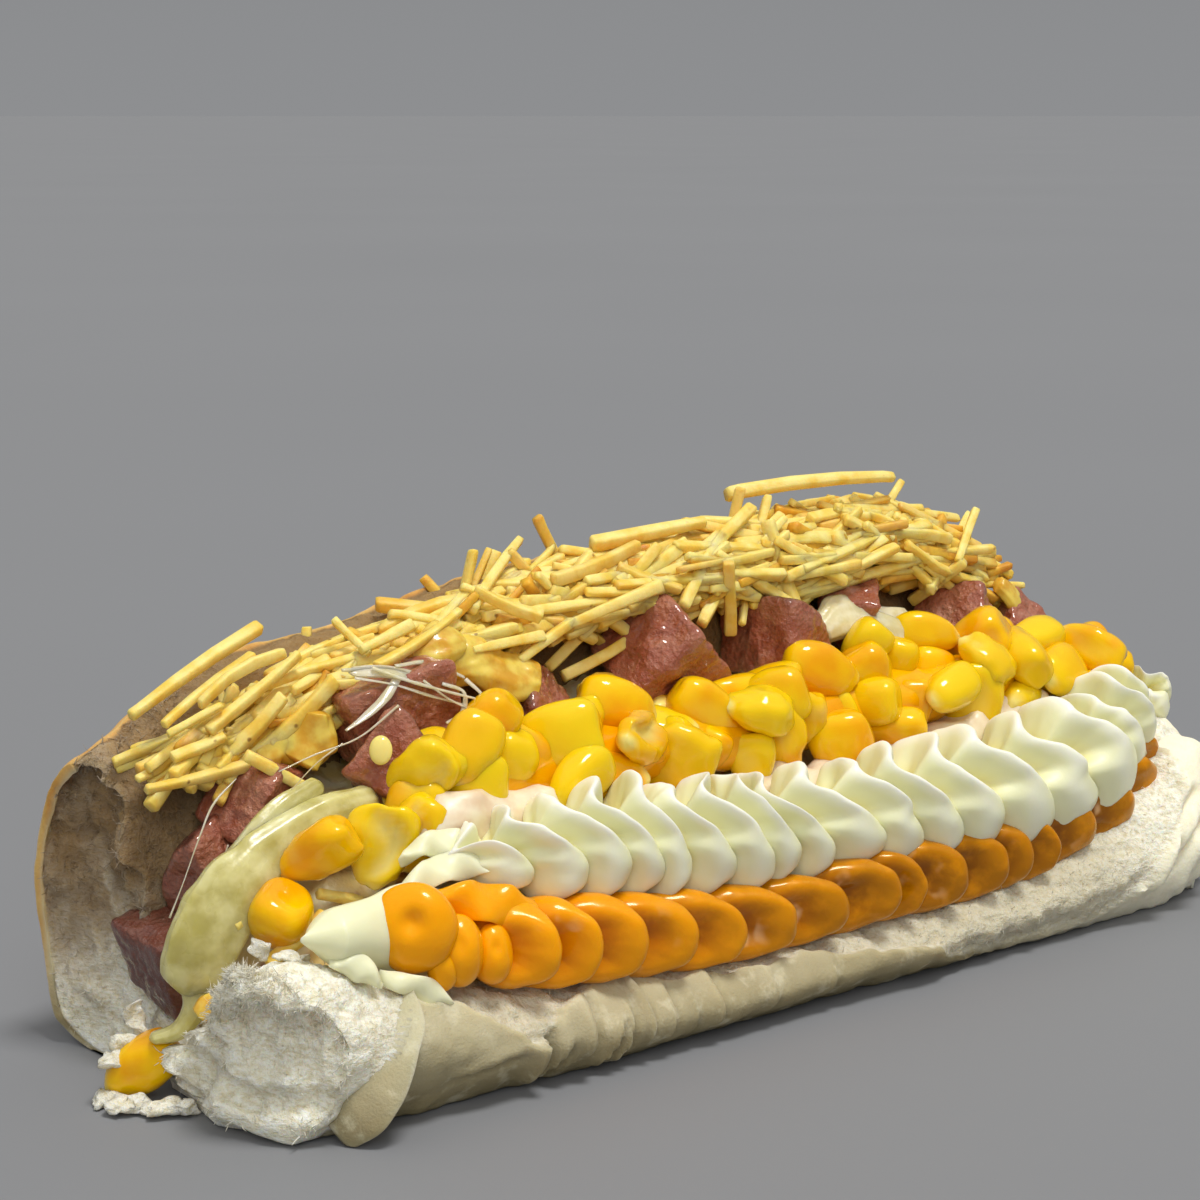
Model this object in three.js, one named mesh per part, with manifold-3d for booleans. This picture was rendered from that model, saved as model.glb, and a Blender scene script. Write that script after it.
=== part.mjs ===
// A loaded hot dog: a soft bun opened along its length, filled with sausage chunks and cheese,
// and topped with rows of piped cream, sweetcorn and shoestring potato sticks.
// Millimetres. X runs along the bun, its torn open end at -X. -Y is the low front wall,
// +Y the high crusty back wall, and Z is up from the face that the bun rests on.

import * as THREE from 'three';
import { mergeVertices } from 'three/addons/utils/BufferGeometryUtils.js';
import Module from 'manifold-3d';

const wasm = await Module();
wasm.setup();

// ---------------------------------------------------------------- driving sizes

const BUN_LENGTH = 188;
const BUN_DEPTH = 58;
const BASE_FRONT = -21;
const BASE_BACK = 21;
const CLEARANCE = 0.3;
const FLOOR_THICKNESS = 6;
const END_X = BUN_LENGTH / 2;
const END_ROUNDING = 30;
const TROUGH_END_X = 80;
const FILLING_SHARE = 0.68;

const RINGS_PER_SWIRL = 3.2;
const CREAM_PITCH = 7.9;
const CHEDDAR_PITCH = 8.3;
const CHEDDAR_RADIUS = 5.4;
const CREAM_FLATTEN = 0.92;

const STICK_SIDE = 2.3;
const KERNEL = { length: 10, width: 8.6, thickness: 6 };
const SAUSAGE_RADIUS = 13;

// ---------------------------------------------------------------- materials

function finish(color, roughness) {
  return new THREE.MeshStandardMaterial({ color, roughness, metalness: 0 });
}

const BREAD = finish(0xd9c79c, 0.85);
const CREAM = finish(0xf4f2da, 0.35);
const CHEDDAR = finish(0xf09a14, 0.35);
const CORN = finish(0xe6b30c, 0.3);
const POTATO = finish(0xd9b054, 0.6);
const SAUSAGE = finish(0x8f5546, 0.4);
const CHEESE = finish(0xd6cd8d, 0.35);

// ---------------------------------------------------------------- small helpers

// A smooth value along the length, from [x, value] stations.
function along(stations) {
  const xs = stations.map((s) => s[0]);
  const values = stations.map((s) => s[1]);
  const spline = new THREE.CubicInterpolant(xs, values, 1);
  const [first, last] = [xs[0], xs[xs.length - 1]];
  return (x) => spline.evaluate(THREE.MathUtils.clamp(x, first, last))[0];
}

// Unevenness between -1 and 1 that changes smoothly with three coordinates.
function uneven(a, b, c = 0) {
  const first = Math.sin(a * 1.7 + 2 * Math.sin(b * 1.3 + c));
  const second = Math.cos(b * 1.1 + 1.5 * Math.sin(c * 1.9 + a * 0.7));
  return first * second;
}

// A closed body through rings of points with equal counts, its two ends fanned from their middles.
function loft(rings) {
  const count = rings[0].length;
  const points = rings.flat();
  const faces = [];
  for (let r = 0; r + 1 < rings.length; r++) {
    for (let i = 0; i < count; i++) {
      const j = (i + 1) % count;
      const a = r * count + i;
      const b = r * count + j;
      faces.push(a, b, a + count, b, b + count, a + count);
    }
  }
  for (const [r, flip] of [[0, true], [rings.length - 1, false]]) {
    const middle = new THREE.Vector3();
    rings[r].forEach((p) => middle.addScaledVector(p, 1 / count));
    points.push(middle);
    for (let i = 0; i < count; i++) {
      const a = r * count + i;
      const b = r * count + ((i + 1) % count);
      faces.push(points.length - 1, flip ? b : a, flip ? a : b);
    }
  }
  const geometry = new THREE.BufferGeometry().setFromPoints(points);
  geometry.setIndex(faces);
  return geometry;
}

function toSolid(geometry) {
  const bare = geometry.clone();
  bare.deleteAttribute('normal');
  bare.deleteAttribute('uv');
  const merged = mergeVertices(bare, 1e-3);
  const make = (indices) => new wasm.Manifold(new wasm.Mesh({
    numProp: 3,
    vertProperties: new Float32Array(merged.attributes.position.array),
    triVerts: new Uint32Array(indices),
  }));
  const solid = make(merged.index.array);
  return solid.volume() > 0 ? solid : make(merged.index.array.toReversed());
}

// The biggest body that is left once cutting has trimmed off small slivers.
function mainBody(solid) {
  const bodies = solid.decompose();
  return bodies.reduce((best, body) => (body.volume() > best.volume() ? body : best));
}

function toGeometry(solid) {
  const { vertProperties, triVerts } = solid.getMesh();
  const geometry = new THREE.BufferGeometry();
  geometry.setAttribute('position', new THREE.BufferAttribute(new Float32Array(vertProperties), 3));
  geometry.setIndex(new THREE.BufferAttribute(new Uint32Array(triVerts), 1));
  return geometry;
}

function toMesh(name, solid, material) {
  let body = mainBody(solid);
  for (let pass = 0; pass < 3; pass++) body = mainBody(toSolid(toGeometry(body)));
  const geometry = toGeometry(body);
  geometry.computeVertexNormals();
  const mesh = new THREE.Mesh(geometry, material);
  mesh.name = name;
  return mesh;
}

// ---------------------------------------------------------------- bun

// The heights of the low front wall and of the high back wall, by x.
const frontLip = along([
  [-94, 19.5], [-86, 19.3], [-79, 17.6], [-70, 15], [-60, 12.5], [-25, 8.7],
  [15, 9], [40, 10.5], [62, 15], [80, 24],
]);
const backTop = along([
  [-94, 38.5], [-86, 42.5], [-78, 47], [-52, 52], [-30, 56], [-12, 57.5],
  [20, 55.5], [45, 51], [62, 44], [80, 33],
]);

// How far the torn end stands back from the outermost crust, at a depth y.
const tearSetBack = along([[-29, 13], [-20, 8], [-10, 5], [2, 3], [8, 9], [14, 8], [22, 2], [29, 0]]);

const BUN_STATIONS = 20;
const BUN_AROUND = 23;

function bunSection(x) {
  const lip = frontLip(x);
  const top = backTop(x);
  const outline = new THREE.CatmullRomCurve3([
    new THREE.Vector3(0, BASE_FRONT + 4, 0),
    new THREE.Vector3(0, BASE_FRONT - 1, 0.4),
    new THREE.Vector3(0, -BUN_DEPTH / 2, lip * 0.55),
    new THREE.Vector3(0, -25, lip - 0.5),
    new THREE.Vector3(0, -18, lip + 1),
    new THREE.Vector3(0, 12, top - 5),
    new THREE.Vector3(0, 18, top),
    new THREE.Vector3(0, 25, top - 5),
    new THREE.Vector3(0, BUN_DEPTH / 2, top * 0.55),
    new THREE.Vector3(0, 27, 8),
    new THREE.Vector3(0, BASE_BACK, 0.4),
    new THREE.Vector3(0, BASE_BACK - 6, 0),
  ], true, 'centripetal');
  return outline.getSpacedPoints(BUN_AROUND).slice(0, BUN_AROUND);
}

function bunOutside(grow) {
  const rings = [];
  for (let s = 0; s <= BUN_STATIONS; s++) {
    const u = s / BUN_STATIONS;
    const x = -END_X + BUN_LENGTH * (1 - (1 - u) ** 1.25);
    const intoEnd = Math.max(0, (x - END_X + END_ROUNDING) / END_ROUNDING);
    const size = Math.max(0.12, (1 - intoEnd ** 2.4) ** (1 / 2.4));
    const tear = (1 - u) ** 9;
    rings.push(bunSection(x).map((p, i) => {
      const rough = s === 0 ? 1.4 * uneven(i * 2.3, p.z * 0.3, p.y * 0.2) + 1.4 - 3 * grow : 0;
      const outward = new THREE.Vector2(p.y - 1, p.z - 20).setLength(grow);
      const y = 1 + (p.y - 1) * size + outward.x;
      const z = Math.max(-grow, 11 + (p.z - 11) * size + outward.y);
      return new THREE.Vector3(x + tear * tearSetBack(p.y) + rough, y, z);
    }));
  }
  return toSolid(loft(rings));
}

// What lies in the trough up to a given top. It stands back from the bread by inset.
function troughFill({ from, to, inset, topAt }) {
  const rings = [];
  const steps = 16;
  for (let s = 0; s <= steps; s++) {
    const x = from + ((to - from) * s) / steps;
    const lip = frontLip(x);
    const top = backTop(x);
    const close = Math.min(1, Math.max(0, (TROUGH_END_X - inset - x) / 16)) ** 0.5;
    const floor = FLOOR_THICKNESS + inset + (1 - close) * 12;
    const shut = (y) => (y - Math.sign(y) * inset) * (0.45 + 0.55 * close);
    rings.push([
      [shut(-19), lip - 1],
      [shut(-14), lip * 0.75],
      [shut(-2), floor],
      [shut(6), floor],
      [shut(9), floor + 5],
      [shut(11.5), top * 0.6],
      [shut(13.5), topAt(x, 13.5)],
      [shut(3), topAt(x, 3)],
      [shut(-7), topAt(x, -7)],
      [shut(-17), topAt(x, -17)],
    ].map(([y, z]) => new THREE.Vector3(x, y, z)));
  }
  return toSolid(loft(rings));
}

function bun(grow) {
  const trough = troughFill({
    from: -END_X - 8, to: TROUGH_END_X, inset: 3 * grow, topAt: () => 90,
  });
  return bunOutside(grow).subtract(trough);
}

// The sloping top of the filling, from the front lip up to the back wall.
function fillingTop(x, y) {
  const front = frontLip(x) + 1;
  const back = backTop(x) * FILLING_SHARE;
  const slope = THREE.MathUtils.clamp((y + 17) / 30.5, 0, 1);
  return front + (back - front) * slope ** 0.9 + 1.1 * uneven(x * 0.16, y * 0.3);
}

function fillingBed() {
  return troughFill({ from: -END_X + 7, to: TROUGH_END_X - 9, inset: 0, topAt: fillingTop });
}

// ---------------------------------------------------------------- piped cream

// A rope of piped swirls along a path: its radius swells and pinches once for each swirl,
// and the pinch leans around the rope as the bag's nozzle circles.
function pipedRope({ path, radiusAt, pitch, depth, lean, flatten, sides, taper, grow = 0 }) {
  const length = path.getLength();
  const steps = Math.round((length / pitch) * RINGS_PER_SWIRL);
  const rings = [];
  for (let s = 0; s <= steps; s++) {
    const t = s / steps;
    const middle = path.getPointAt(t);
    const ahead = path.getTangentAt(t);
    const side = new THREE.Vector3().crossVectors(new THREE.Vector3(0, 0, 1), ahead).normalize();
    const up = new THREE.Vector3().crossVectors(ahead, side);
    const end = Math.min(1, Math.min(t, 1 - t) * length / taper + 0.35) ** 0.6;
    const ring = [];
    for (let i = 0; i < sides; i++) {
      const angle = (i / sides) * 2 * Math.PI;
      const turn = (t * length) / pitch + (lean * Math.sin(angle)) / 2;
      const swell = 1 - depth * Math.abs(Math.cos(Math.PI * turn)) ** 3;
      const size = radiusAt(middle.x) * swell * end * (1 + 0.06 * uneven(t * 40, angle)) + grow;
      ring.push(middle.clone()
        .addScaledVector(side, -Math.cos(angle) * size * flatten)
        .addScaledVector(up, Math.sin(angle) * size));
    }
    rings.push(ring);
  }
  return toSolid(loft(rings.map((ring) => ring.reverse())));
}

function pathThrough(points) {
  return new THREE.CatmullRomCurve3(points.map((p) => new THREE.Vector3(...p)), false, 'centripetal');
}

const creamPath = pathThrough([
  [-60, -17, 28], [-50, -17, 27.5], [-41, -16.5, 27], [-20, -16.5, 24.5], [5, -17, 23],
  [32, -17, 22.5], [52, -16.3, 23.2], [66, -14, 26.6], [75, -10.5, 30.5],
]);
const cheddarPath = pathThrough([
  [-73, -20.5, 22], [-61, -22, 19.2], [-50, -22.6, 17.8], [-38, -23, 16.5], [-20, -23.3, 14.3],
  [10, -23.3, 14.5], [36, -22.8, 14.7], [52, -21.8, 16.3], [62, -20, 18.3], [70, -17, 21.6], [76, -13, 25],
]);

const creamRope = (grow) => pipedRope({
  path: creamPath,
  radiusAt: along([[-60, 5], [-50, 6.4], [-15, 7.6], [20, 8.2], [50, 8.8], [64, 8], [75, 6]]),
  pitch: CREAM_PITCH,
  depth: 0.24,
  lean: 0.9,
  flatten: CREAM_FLATTEN,
  sides: 10,
  taper: 9,
  grow,
});
const cheddarRope = (grow) => pipedRope({
  path: cheddarPath,
  radiusAt: () => CHEDDAR_RADIUS,
  pitch: CHEDDAR_PITCH,
  depth: 0.26,
  lean: -0.6,
  flatten: 0.95,
  sides: 8,
  taper: 7,
  grow,
});

// ---------------------------------------------------------------- chunks, kernels, sticks, cheese

function placed(geometry, [x, y, z], [rx, ry, rz]) {
  const turn = new THREE.Euler(rx, ry, rz, 'ZYX');
  const matrix = new THREE.Matrix4().makeRotationFromEuler(turn).setPosition(x, y, z);
  return geometry.clone().applyMatrix4(matrix);
}

// A piece of sausage: a wedge of the round, with two cut sides and one side of skin.
function sausageChunk({ at, turn, length, wedge = 1.5, radius = SAUSAGE_RADIUS }, grow) {
  const back = grow / Math.sin(wedge / 2);
  const [cx, cy] = [-back * Math.cos(wedge / 2), -back * Math.sin(wedge / 2)];
  const reach = radius + grow + back;
  const shape = new THREE.Shape();
  shape.moveTo(cx, cy);
  shape.lineTo(cx + reach, cy);
  shape.absarc(cx, cy, reach, 0, wedge, false);
  shape.closePath();
  const geometry = new THREE.ExtrudeGeometry(shape, {
    depth: length + 2 * grow, bevelEnabled: false, curveSegments: 3,
  });
  geometry.translate(-radius * 0.42, -radius * 0.42, -length / 2 - grow);
  return toSolid(placed(geometry, at, turn));
}

// A sweetcorn kernel: a rounded block, wide at its crown and narrow at its tip.
function kernel({ at, turn, size = 1 }, grow) {
  const geometry = new THREE.SphereGeometry(1, 7, 5);
  const position = geometry.attributes.position;
  const point = new THREE.Vector3();
  for (let i = 0; i < position.count; i++) {
    point.fromBufferAttribute(position, i);
    const narrow = 1 - 0.22 * (1 - point.y) / 2;
    const block = (v) => Math.sign(v) * Math.abs(v) ** 0.8;
    position.setXYZ(
      i,
      block(point.x) * (size * KERNEL.width * narrow / 2 + grow),
      point.y * (size * KERNEL.length / 2 + grow),
      block(point.z) * (size * KERNEL.thickness * narrow / 2 + grow),
    );
  }
  return toSolid(placed(geometry, at, turn));
}

function stick({ from, to }, grow) {
  const [a, b] = [new THREE.Vector3(...from), new THREE.Vector3(...to)];
  const side = STICK_SIDE + 2 * grow;
  const geometry = new THREE.BoxGeometry(side, side, a.distanceTo(b) + 2 * grow);
  const turn = new THREE.Quaternion().setFromUnitVectors(
    new THREE.Vector3(0, 0, 1), b.clone().sub(a).normalize(),
  );
  geometry.applyQuaternion(turn);
  geometry.translate(...a.add(b).multiplyScalar(0.5).toArray());
  return toSolid(geometry);
}

// A heap with an uneven outline: rings around a path, each an oval with lumps of one size.
function heap({ path, across, upright, lump, lumps, sides, steps }) {
  const rings = [];
  for (let s = 0; s <= steps; s++) {
    const t = s / steps;
    const middle = path.getPointAt(t);
    const ends = Math.max(0.15, Math.sin(Math.PI * Math.min(0.5, 5 * Math.min(t, 1 - t) + 0.06))) ** 0.7;
    const ring = [];
    for (let i = 0; i < sides; i++) {
      const angle = (i / sides) * 2 * Math.PI;
      const bump = lump * uneven(middle.x * lumps, angle * 2.4, middle.x * 0.05);
      ring.push(new THREE.Vector3(
        middle.x,
        middle.y + Math.cos(angle) * (across(middle.x) * ends + bump),
        middle.z + Math.sin(angle) * (upright(middle.x) * ends + bump),
      ));
    }
    rings.push(ring);
  }
  return toSolid(loft(rings));
}

// Melted cheese: a ribbon along a path, thick in its middle and round at its edges.
function cheeseRibbon({ points, widths, thickness, tilt }, grow) {
  const path = pathThrough(points);
  const steps = 10;
  const sides = 8;
  const width = along(widths);
  const rings = [];
  for (let s = 0; s <= steps; s++) {
    const t = s / steps;
    const ahead = path.getTangentAt(t);
    const side = new THREE.Vector3(...tilt).cross(ahead).normalize();
    const up = new THREE.Vector3().crossVectors(ahead, side);
    const ring = [];
    for (let i = 0; i < sides; i++) {
      const angle = -(i / sides) * 2 * Math.PI;
      ring.push(path.getPointAt(t)
        .addScaledVector(side, Math.cos(angle) * (width(t) / 2 + grow))
        .addScaledVector(up, -Math.sin(angle) * (thickness / 2 + grow)));
    }
    rings.push(ring);
  }
  return toSolid(loft(rings));
}

// ---------------------------------------------------------------- where the toppings lie

const CHUNKS = [
  { at: [-83, 9, 14.5], turn: [0.1, 1.3, 0.2], length: 12, wedge: 1.7, radius: 11.5 },
  { at: [-73.5, 6.5, 34], turn: [0.3, 0.4, 0.5], length: 11.5, radius: 9.8 },
  { at: [-79.5, 8, 26], turn: [1.2, 0.3, 1.9], length: 10.5, radius: 10 },
  { at: [-53, 5, 43.5], turn: [0.2, 1.3, 0.1], length: 16, radius: 13 },
  { at: [-56.5, -1, 37], turn: [1.1, 0.5, -0.9], length: 12, radius: 11.5 },
  { at: [-30, 4.5, 39.5], turn: [0.8, 0.5, 2.2], length: 10, radius: 10 },
  { at: [-6, 4.5, 43], turn: [0.5, 0.7, 0.2], length: 14, wedge: 1.8, radius: 12 },
  { at: [17, 6, 43], turn: [1.5, 0.2, 0.1], length: 14, wedge: 1.7, radius: 12 },
  { at: [33, 8.5, 47], turn: [0.4, 1.1, 1.4], length: 11, radius: 10 },
  { at: [54, 5.5, 41.5], turn: [1.3, 0.6, 0.3], length: 12, radius: 10 },
  { at: [69, 7, 37.5], turn: [0.9, 0.4, -0.4], length: 11, radius: 10 },
];

const KERNELS = [
  { at: [-76.5, -9, 32], turn: [0.2, 0.5, 1.3] },
  { at: [-82.5, -10, 24.5], turn: [1.2, 0.1, 0.4], size: 0.86 },
  { at: [-92, 1.5, 4.4], turn: [0.1, 0.3, -0.9] },
  { at: [-67.5, -6, 33.5], turn: [0.9, 0.4, 0.2] },
  { at: [-59.5, -10, 34], turn: [0.3, -0.4, 1.6] },
];

const STICKS = [
  { from: [-87, 9.5, 37.5], to: [-73, 11, 40.5] },
  { from: [-74.5, 6, 42], to: [-62.5, 4.5, 37.5] },
];

const cheeseStrip = (grow) => cheeseRibbon({
  points: [[-90, -4, 15], [-88, -4.5, 22], [-83, -4.5, 28], [-75, -3, 33], [-66.5, -1.5, 36]],
  widths: [[0, 6], [0.25, 10], [0.6, 10.5], [1, 7]],
  thickness: 4.2,
  tilt: [-0.35, -0.85, 0.3],
}, grow);

const cheeseMelt = (grow) => cheeseRibbon({
  points: [[22, 3, 44.5], [28, 3.5, 46.5], [34, 3, 44], [39, 2, 42]],
  widths: [[0, 4], [0.4, 7], [1, 5]],
  thickness: 3.4,
  tilt: [0, -0.75, 0.65],
}, grow);

const creamTail = (grow) => pipedRope({
  path: pathThrough([[-84, -20, 22.5], [-76, -20.5, 18.5], [-66, -21.5, 13.6]]),
  radiusAt: () => 4.6,
  pitch: 7,
  depth: 0.12,
  lean: 0.5,
  flatten: 1,
  sides: 9,
  taper: 9,
  grow,
});
const creamDollop = (grow) => pipedRope({
  path: pathThrough([[79, -6.5, 24], [84, -6.5, 27.5], [88.5, -6, 31]]),
  radiusAt: () => 4.8,
  pitch: 5,
  depth: 0.16,
  lean: 0.5,
  flatten: 1,
  sides: 9,
  taper: 7,
  grow,
});

const cornHeap = () => heap({
  path: pathThrough([
    [-57, -6, 35], [-30, -4.5, 34.5], [0, -3.5, 34], [30, -3.5, 34.5], [55, -3, 35], [79, -2, 33],
  ]),
  across: () => 8.8,
  upright: () => 8,
  lump: 1.3,
  lumps: 0.75,
  sides: 8,
  steps: 17,
});

const stickHeap = () => heap({
  path: pathThrough([
    [-88, 13.5, 38], [-78, 13, 40.5], [-60, 12.8, 45], [-25, 14.5, 51.5], [20, 14.5, 53.5],
    [50, 15, 52.5], [69, 14, 45],
  ]),
  across: along([[-88, 6], [-60, 8.5], [-20, 10], [50, 10.5], [69, 8.5]]),
  upright: along([[-88, 3.8], [-78, 4.8], [-60, 6], [-20, 7], [30, 8.2], [50, 8.5], [69, 6]]),
  lump: 1.2,
  lumps: 0.5,
  sides: 8,
  steps: 17,
});

// ---------------------------------------------------------------- cutting and assembly

// Each topping gives way, with a small clearance, to those laid down before it.
const hotDog = new THREE.Group();
const laid = [];

function lay(name, make, material) {
  const solid = laid.reduce((rest, other) => rest.subtract(other), make(0));
  laid.push(make(CLEARANCE));
  hotDog.add(toMesh(name, solid, material));
}

lay('cream_rope', creamRope, CREAM);
lay('cheddar_rope', cheddarRope, CHEDDAR);
lay('cream_tail', creamTail, CREAM);
lay('cream_dollop', creamDollop, CREAM);
CHUNKS.forEach((one, i) => lay(`sausage_chunk_${i + 1}`, (grow) => sausageChunk(one, grow), SAUSAGE));
lay('cheese_strip', cheeseStrip, CHEESE);
lay('cheese_melt', cheeseMelt, CHEESE);
KERNELS.forEach((one, i) => lay(`corn_kernel_${i + 1}`, (grow) => kernel(one, grow), CORN));
STICKS.forEach((one, i) => lay(`potato_stick_${i + 1}`, (grow) => stick(one, grow), POTATO));
lay('bun', bun, BREAD);
lay('corn_heap', cornHeap, CORN);
lay('potato_stick_heap', stickHeap, POTATO);
lay('filling_bed', fillingBed, CHEESE);

// The origin is the middle of the whole object's underside.
const extent = new THREE.Box3().setFromObject(hotDog);
const middle = extent.getCenter(new THREE.Vector3());
hotDog.position.set(-middle.x, -middle.y, 0);

export default hotDog;
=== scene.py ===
"""A loaded hot dog: soft bun, sausage chunks, melted cheese, sweetcorn, piped creams, potato sticks.

Lengths are worked out in millimetres in the hot dog's own frame: X runs along the bun from its torn open
end, Y from the low front wall to the high back wall, Z up. They become metres in `piece`.
"""

import math

import bpy
import numpy as np
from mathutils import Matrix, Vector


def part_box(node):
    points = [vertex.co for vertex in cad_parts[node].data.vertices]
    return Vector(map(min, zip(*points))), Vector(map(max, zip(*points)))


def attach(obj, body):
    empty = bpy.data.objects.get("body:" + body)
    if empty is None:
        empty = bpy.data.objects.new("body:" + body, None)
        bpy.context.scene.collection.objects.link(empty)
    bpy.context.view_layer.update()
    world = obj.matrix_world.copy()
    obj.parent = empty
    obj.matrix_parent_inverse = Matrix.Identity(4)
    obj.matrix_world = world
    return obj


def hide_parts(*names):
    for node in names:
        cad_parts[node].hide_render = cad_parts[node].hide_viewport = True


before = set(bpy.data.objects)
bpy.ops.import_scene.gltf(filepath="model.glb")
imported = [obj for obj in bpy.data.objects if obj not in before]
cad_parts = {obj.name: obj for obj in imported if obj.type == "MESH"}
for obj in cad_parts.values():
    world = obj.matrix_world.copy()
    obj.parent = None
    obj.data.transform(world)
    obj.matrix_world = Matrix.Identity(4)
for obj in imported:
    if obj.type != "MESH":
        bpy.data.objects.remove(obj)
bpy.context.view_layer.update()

# ------------------------------------------------------------------ driving sizes, in mm

MM = 0.001
BUN_HALF_LENGTH = 94.0
BUN_HALF_DEPTH = 29.0
FLOOR_THICKNESS = 6.0
TROUGH_END = 80.0
# How far the rounding of the closed end, and the raggedness of the torn one, reach along the bun.
ROUNDED_END = 30.0
TORN_REACH = 34.0
# From which x the closed end's tip is smooth, and behind which y the back wall stands.
SMOOTH_TIP = 93.6
BACK_WALL_INSIDE = 16.5

bun_low, bun_high = (np.array(corner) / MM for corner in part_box("bun"))
SHIFT = np.array([bun_high[0] - BUN_HALF_LENGTH, (bun_low[1] + bun_high[1]) / 2, 0.0])

# ------------------------------------------------------------------ camera and light


def look(eye, turn, dip, lens):
    """A camera at eye, turned from +Y towards +X and dipped below level, both in degrees."""
    data = bpy.data.cameras.new("camera")
    data.lens = lens
    camera = bpy.data.objects.new("camera", data)
    camera.location = (np.array(eye) + SHIFT) * MM
    camera.rotation_euler = (math.radians(90 - dip), 0, -math.radians(turn))
    data.clip_start = 0.01
    data.clip_end = 20
    bpy.context.collection.objects.link(camera)
    bpy.context.scene.camera = camera


look(eye=(-249.6, -285.4, 122.8), turn=38.62, dip=10.51, lens=81.0)


def sun(name, turn, height, strength, angle, colour, mirrored=True):
    """A far soft light that comes from turn degrees round from +X and height degrees up."""
    data = bpy.data.lights.new(name, "SUN")
    data.energy = strength
    data.angle = math.radians(angle)
    data.color = colour
    light = bpy.data.objects.new(name, data)
    light.rotation_euler = (math.radians(90 - height), 0, math.radians(turn + 90))
    light.visible_glossy = mirrored
    bpy.context.collection.objects.link(light)


sun("ring_lamp", turn=-70, height=74, strength=2.1, angle=16, colour=(1.0, 0.99, 0.965))
sun("side", turn=235, height=32, strength=1.0, angle=40, colour=(0.98, 0.99, 1.0), mirrored=False)

bpy.context.scene.view_settings.view_transform = "Standard"

# ------------------------------------------------------------------ shapes from numbers


def along(*stations, level=False):
    """A smooth value through (x, value) stations: cubics whose slopes are the stations' own, or level."""
    xs, values = np.array(stations, float).T
    slopes = np.gradient(values, xs) * (not level)

    def value(x):
        x = np.clip(np.asarray(x, float), xs[0], xs[-1])
        i = np.clip(np.searchsorted(xs, x) - 1, 0, len(xs) - 2)
        step = xs[i + 1] - xs[i]
        t = (x - xs[i]) / step
        return (
            (2 * t**3 - 3 * t**2 + 1) * values[i]
            + (t**3 - 2 * t**2 + t) * step * slopes[i]
            + (3 * t**2 - 2 * t**3) * values[i + 1]
            + (t**3 - t**2) * step * slopes[i + 1]
        )

    return value


def ramp(x, low, high):
    """0 below low, 1 above high, and a smooth step between."""
    t = np.clip((x - low) / (high - low), 0, 1)
    return t * t * (3 - 2 * t)


# Large primes that scatter neighbouring cells' values.
SCATTER = np.array([73856093, 19349663, 83492791])


def noise(points, size, seed=0):
    """Unevenness between -1 and 1: random values at the corners of cells of a size, blended smoothly."""
    q = np.asarray(points, float) / size + 1000
    cell = np.floor(q).astype(np.int64)
    f = q - cell
    f = f * f * f * (f * (f * 6 - 15) + 10)
    total = np.zeros(q.shape[:-1])
    for dx in (0, 1):
        for dy in (0, 1):
            for dz in (0, 1):
                near = (cell + (dx, dy, dz)) * SCATTER
                h = near[..., 0] ^ near[..., 1] ^ near[..., 2]
                h = (h + seed * 2654435761) & 0xFFFFFFFF
                h = ((h ^ (h >> 15)) * 2246822519) & 0xFFFFFFFF
                h = ((h ^ (h >> 13)) * 3266489917) & 0xFFFFFFFF
                corner = ((h ^ (h >> 16)) & 0xFFFF) / 32767.5 - 1
                wx = f[..., 0] if dx else 1 - f[..., 0]
                wy = f[..., 1] if dy else 1 - f[..., 1]
                wz = f[..., 2] if dz else 1 - f[..., 2]
                total += corner * wx * wy * wz
    return total


def layers(points, *parts):
    """The sum of noises, each with its own height, size and seed."""
    return sum(height * noise(points, size, seed) for height, size, seed in parts)


def wobble(points, size, seed=0):
    """Noise in each of three directions."""
    return np.stack([noise(points, size, seed + k) for k in range(3)], axis=-1)


def unit(vectors):
    """The vectors divided by their lengths."""
    return vectors / np.maximum(np.linalg.norm(vectors, axis=-1, keepdims=True), 1e-9)


def through(controls, t):
    """A closed smooth curve through each row of controls (n, c, 2), at parameters t in controls."""
    count = controls.shape[1]
    i = np.floor(t).astype(int)
    f = (t - i)[None, :, None]
    p0, p1, p2, p3 = (controls[:, (i + k) % count] for k in (-1, 0, 1, 2))
    bent, twisted = 2 * p0 - 5 * p1 + 4 * p2 - p3, 3 * p1 - p0 - 3 * p2 + p3
    return 0.5 * (2 * p1 + (p2 - p0) * f + bent * f**2 + twisted * f**3)


def run_lengths(points):
    """How far along the line through the points each of them lies."""
    return np.concatenate([[0], np.cumsum(np.linalg.norm(np.diff(points, axis=0), axis=1))])


class Path:
    """A smooth line through points, measured by its length, with a side and an up at each place."""

    def __init__(self, points):
        points = np.array(points, float)
        chord = run_lengths(points)
        curves = [along(*zip(chord, points[:, k])) for k in range(3)]
        fine = np.linspace(0, chord[-1], 600)
        self.line = np.stack([curve(fine) for curve in curves], axis=1)
        self.measure = run_lengths(self.line)
        self.length = self.measure[-1]

    def at(self, distance):
        """The points at distances along the line, which runs straight on past its ends."""
        inside = np.clip(distance, 0, self.length)
        here = np.stack([np.interp(inside, self.measure, self.line[:, k]) for k in range(3)], axis=-1)
        over = (np.asarray(distance) - inside)[..., None]
        first, last = unit(self.line[1] - self.line[0]), unit(self.line[-1] - self.line[-2])
        return here + np.where(over < 0, over * first, over * last)

    def frame(self, distance, up=(0, 0, 1)):
        """The directions ahead, to the side and up at distances along the line."""
        ahead = unit(self.at(np.asarray(distance) + 0.5) - self.at(np.asarray(distance) - 0.5))
        side = unit(np.cross(np.broadcast_to(up, ahead.shape), ahead))
        return ahead, side, np.cross(ahead, side)


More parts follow.
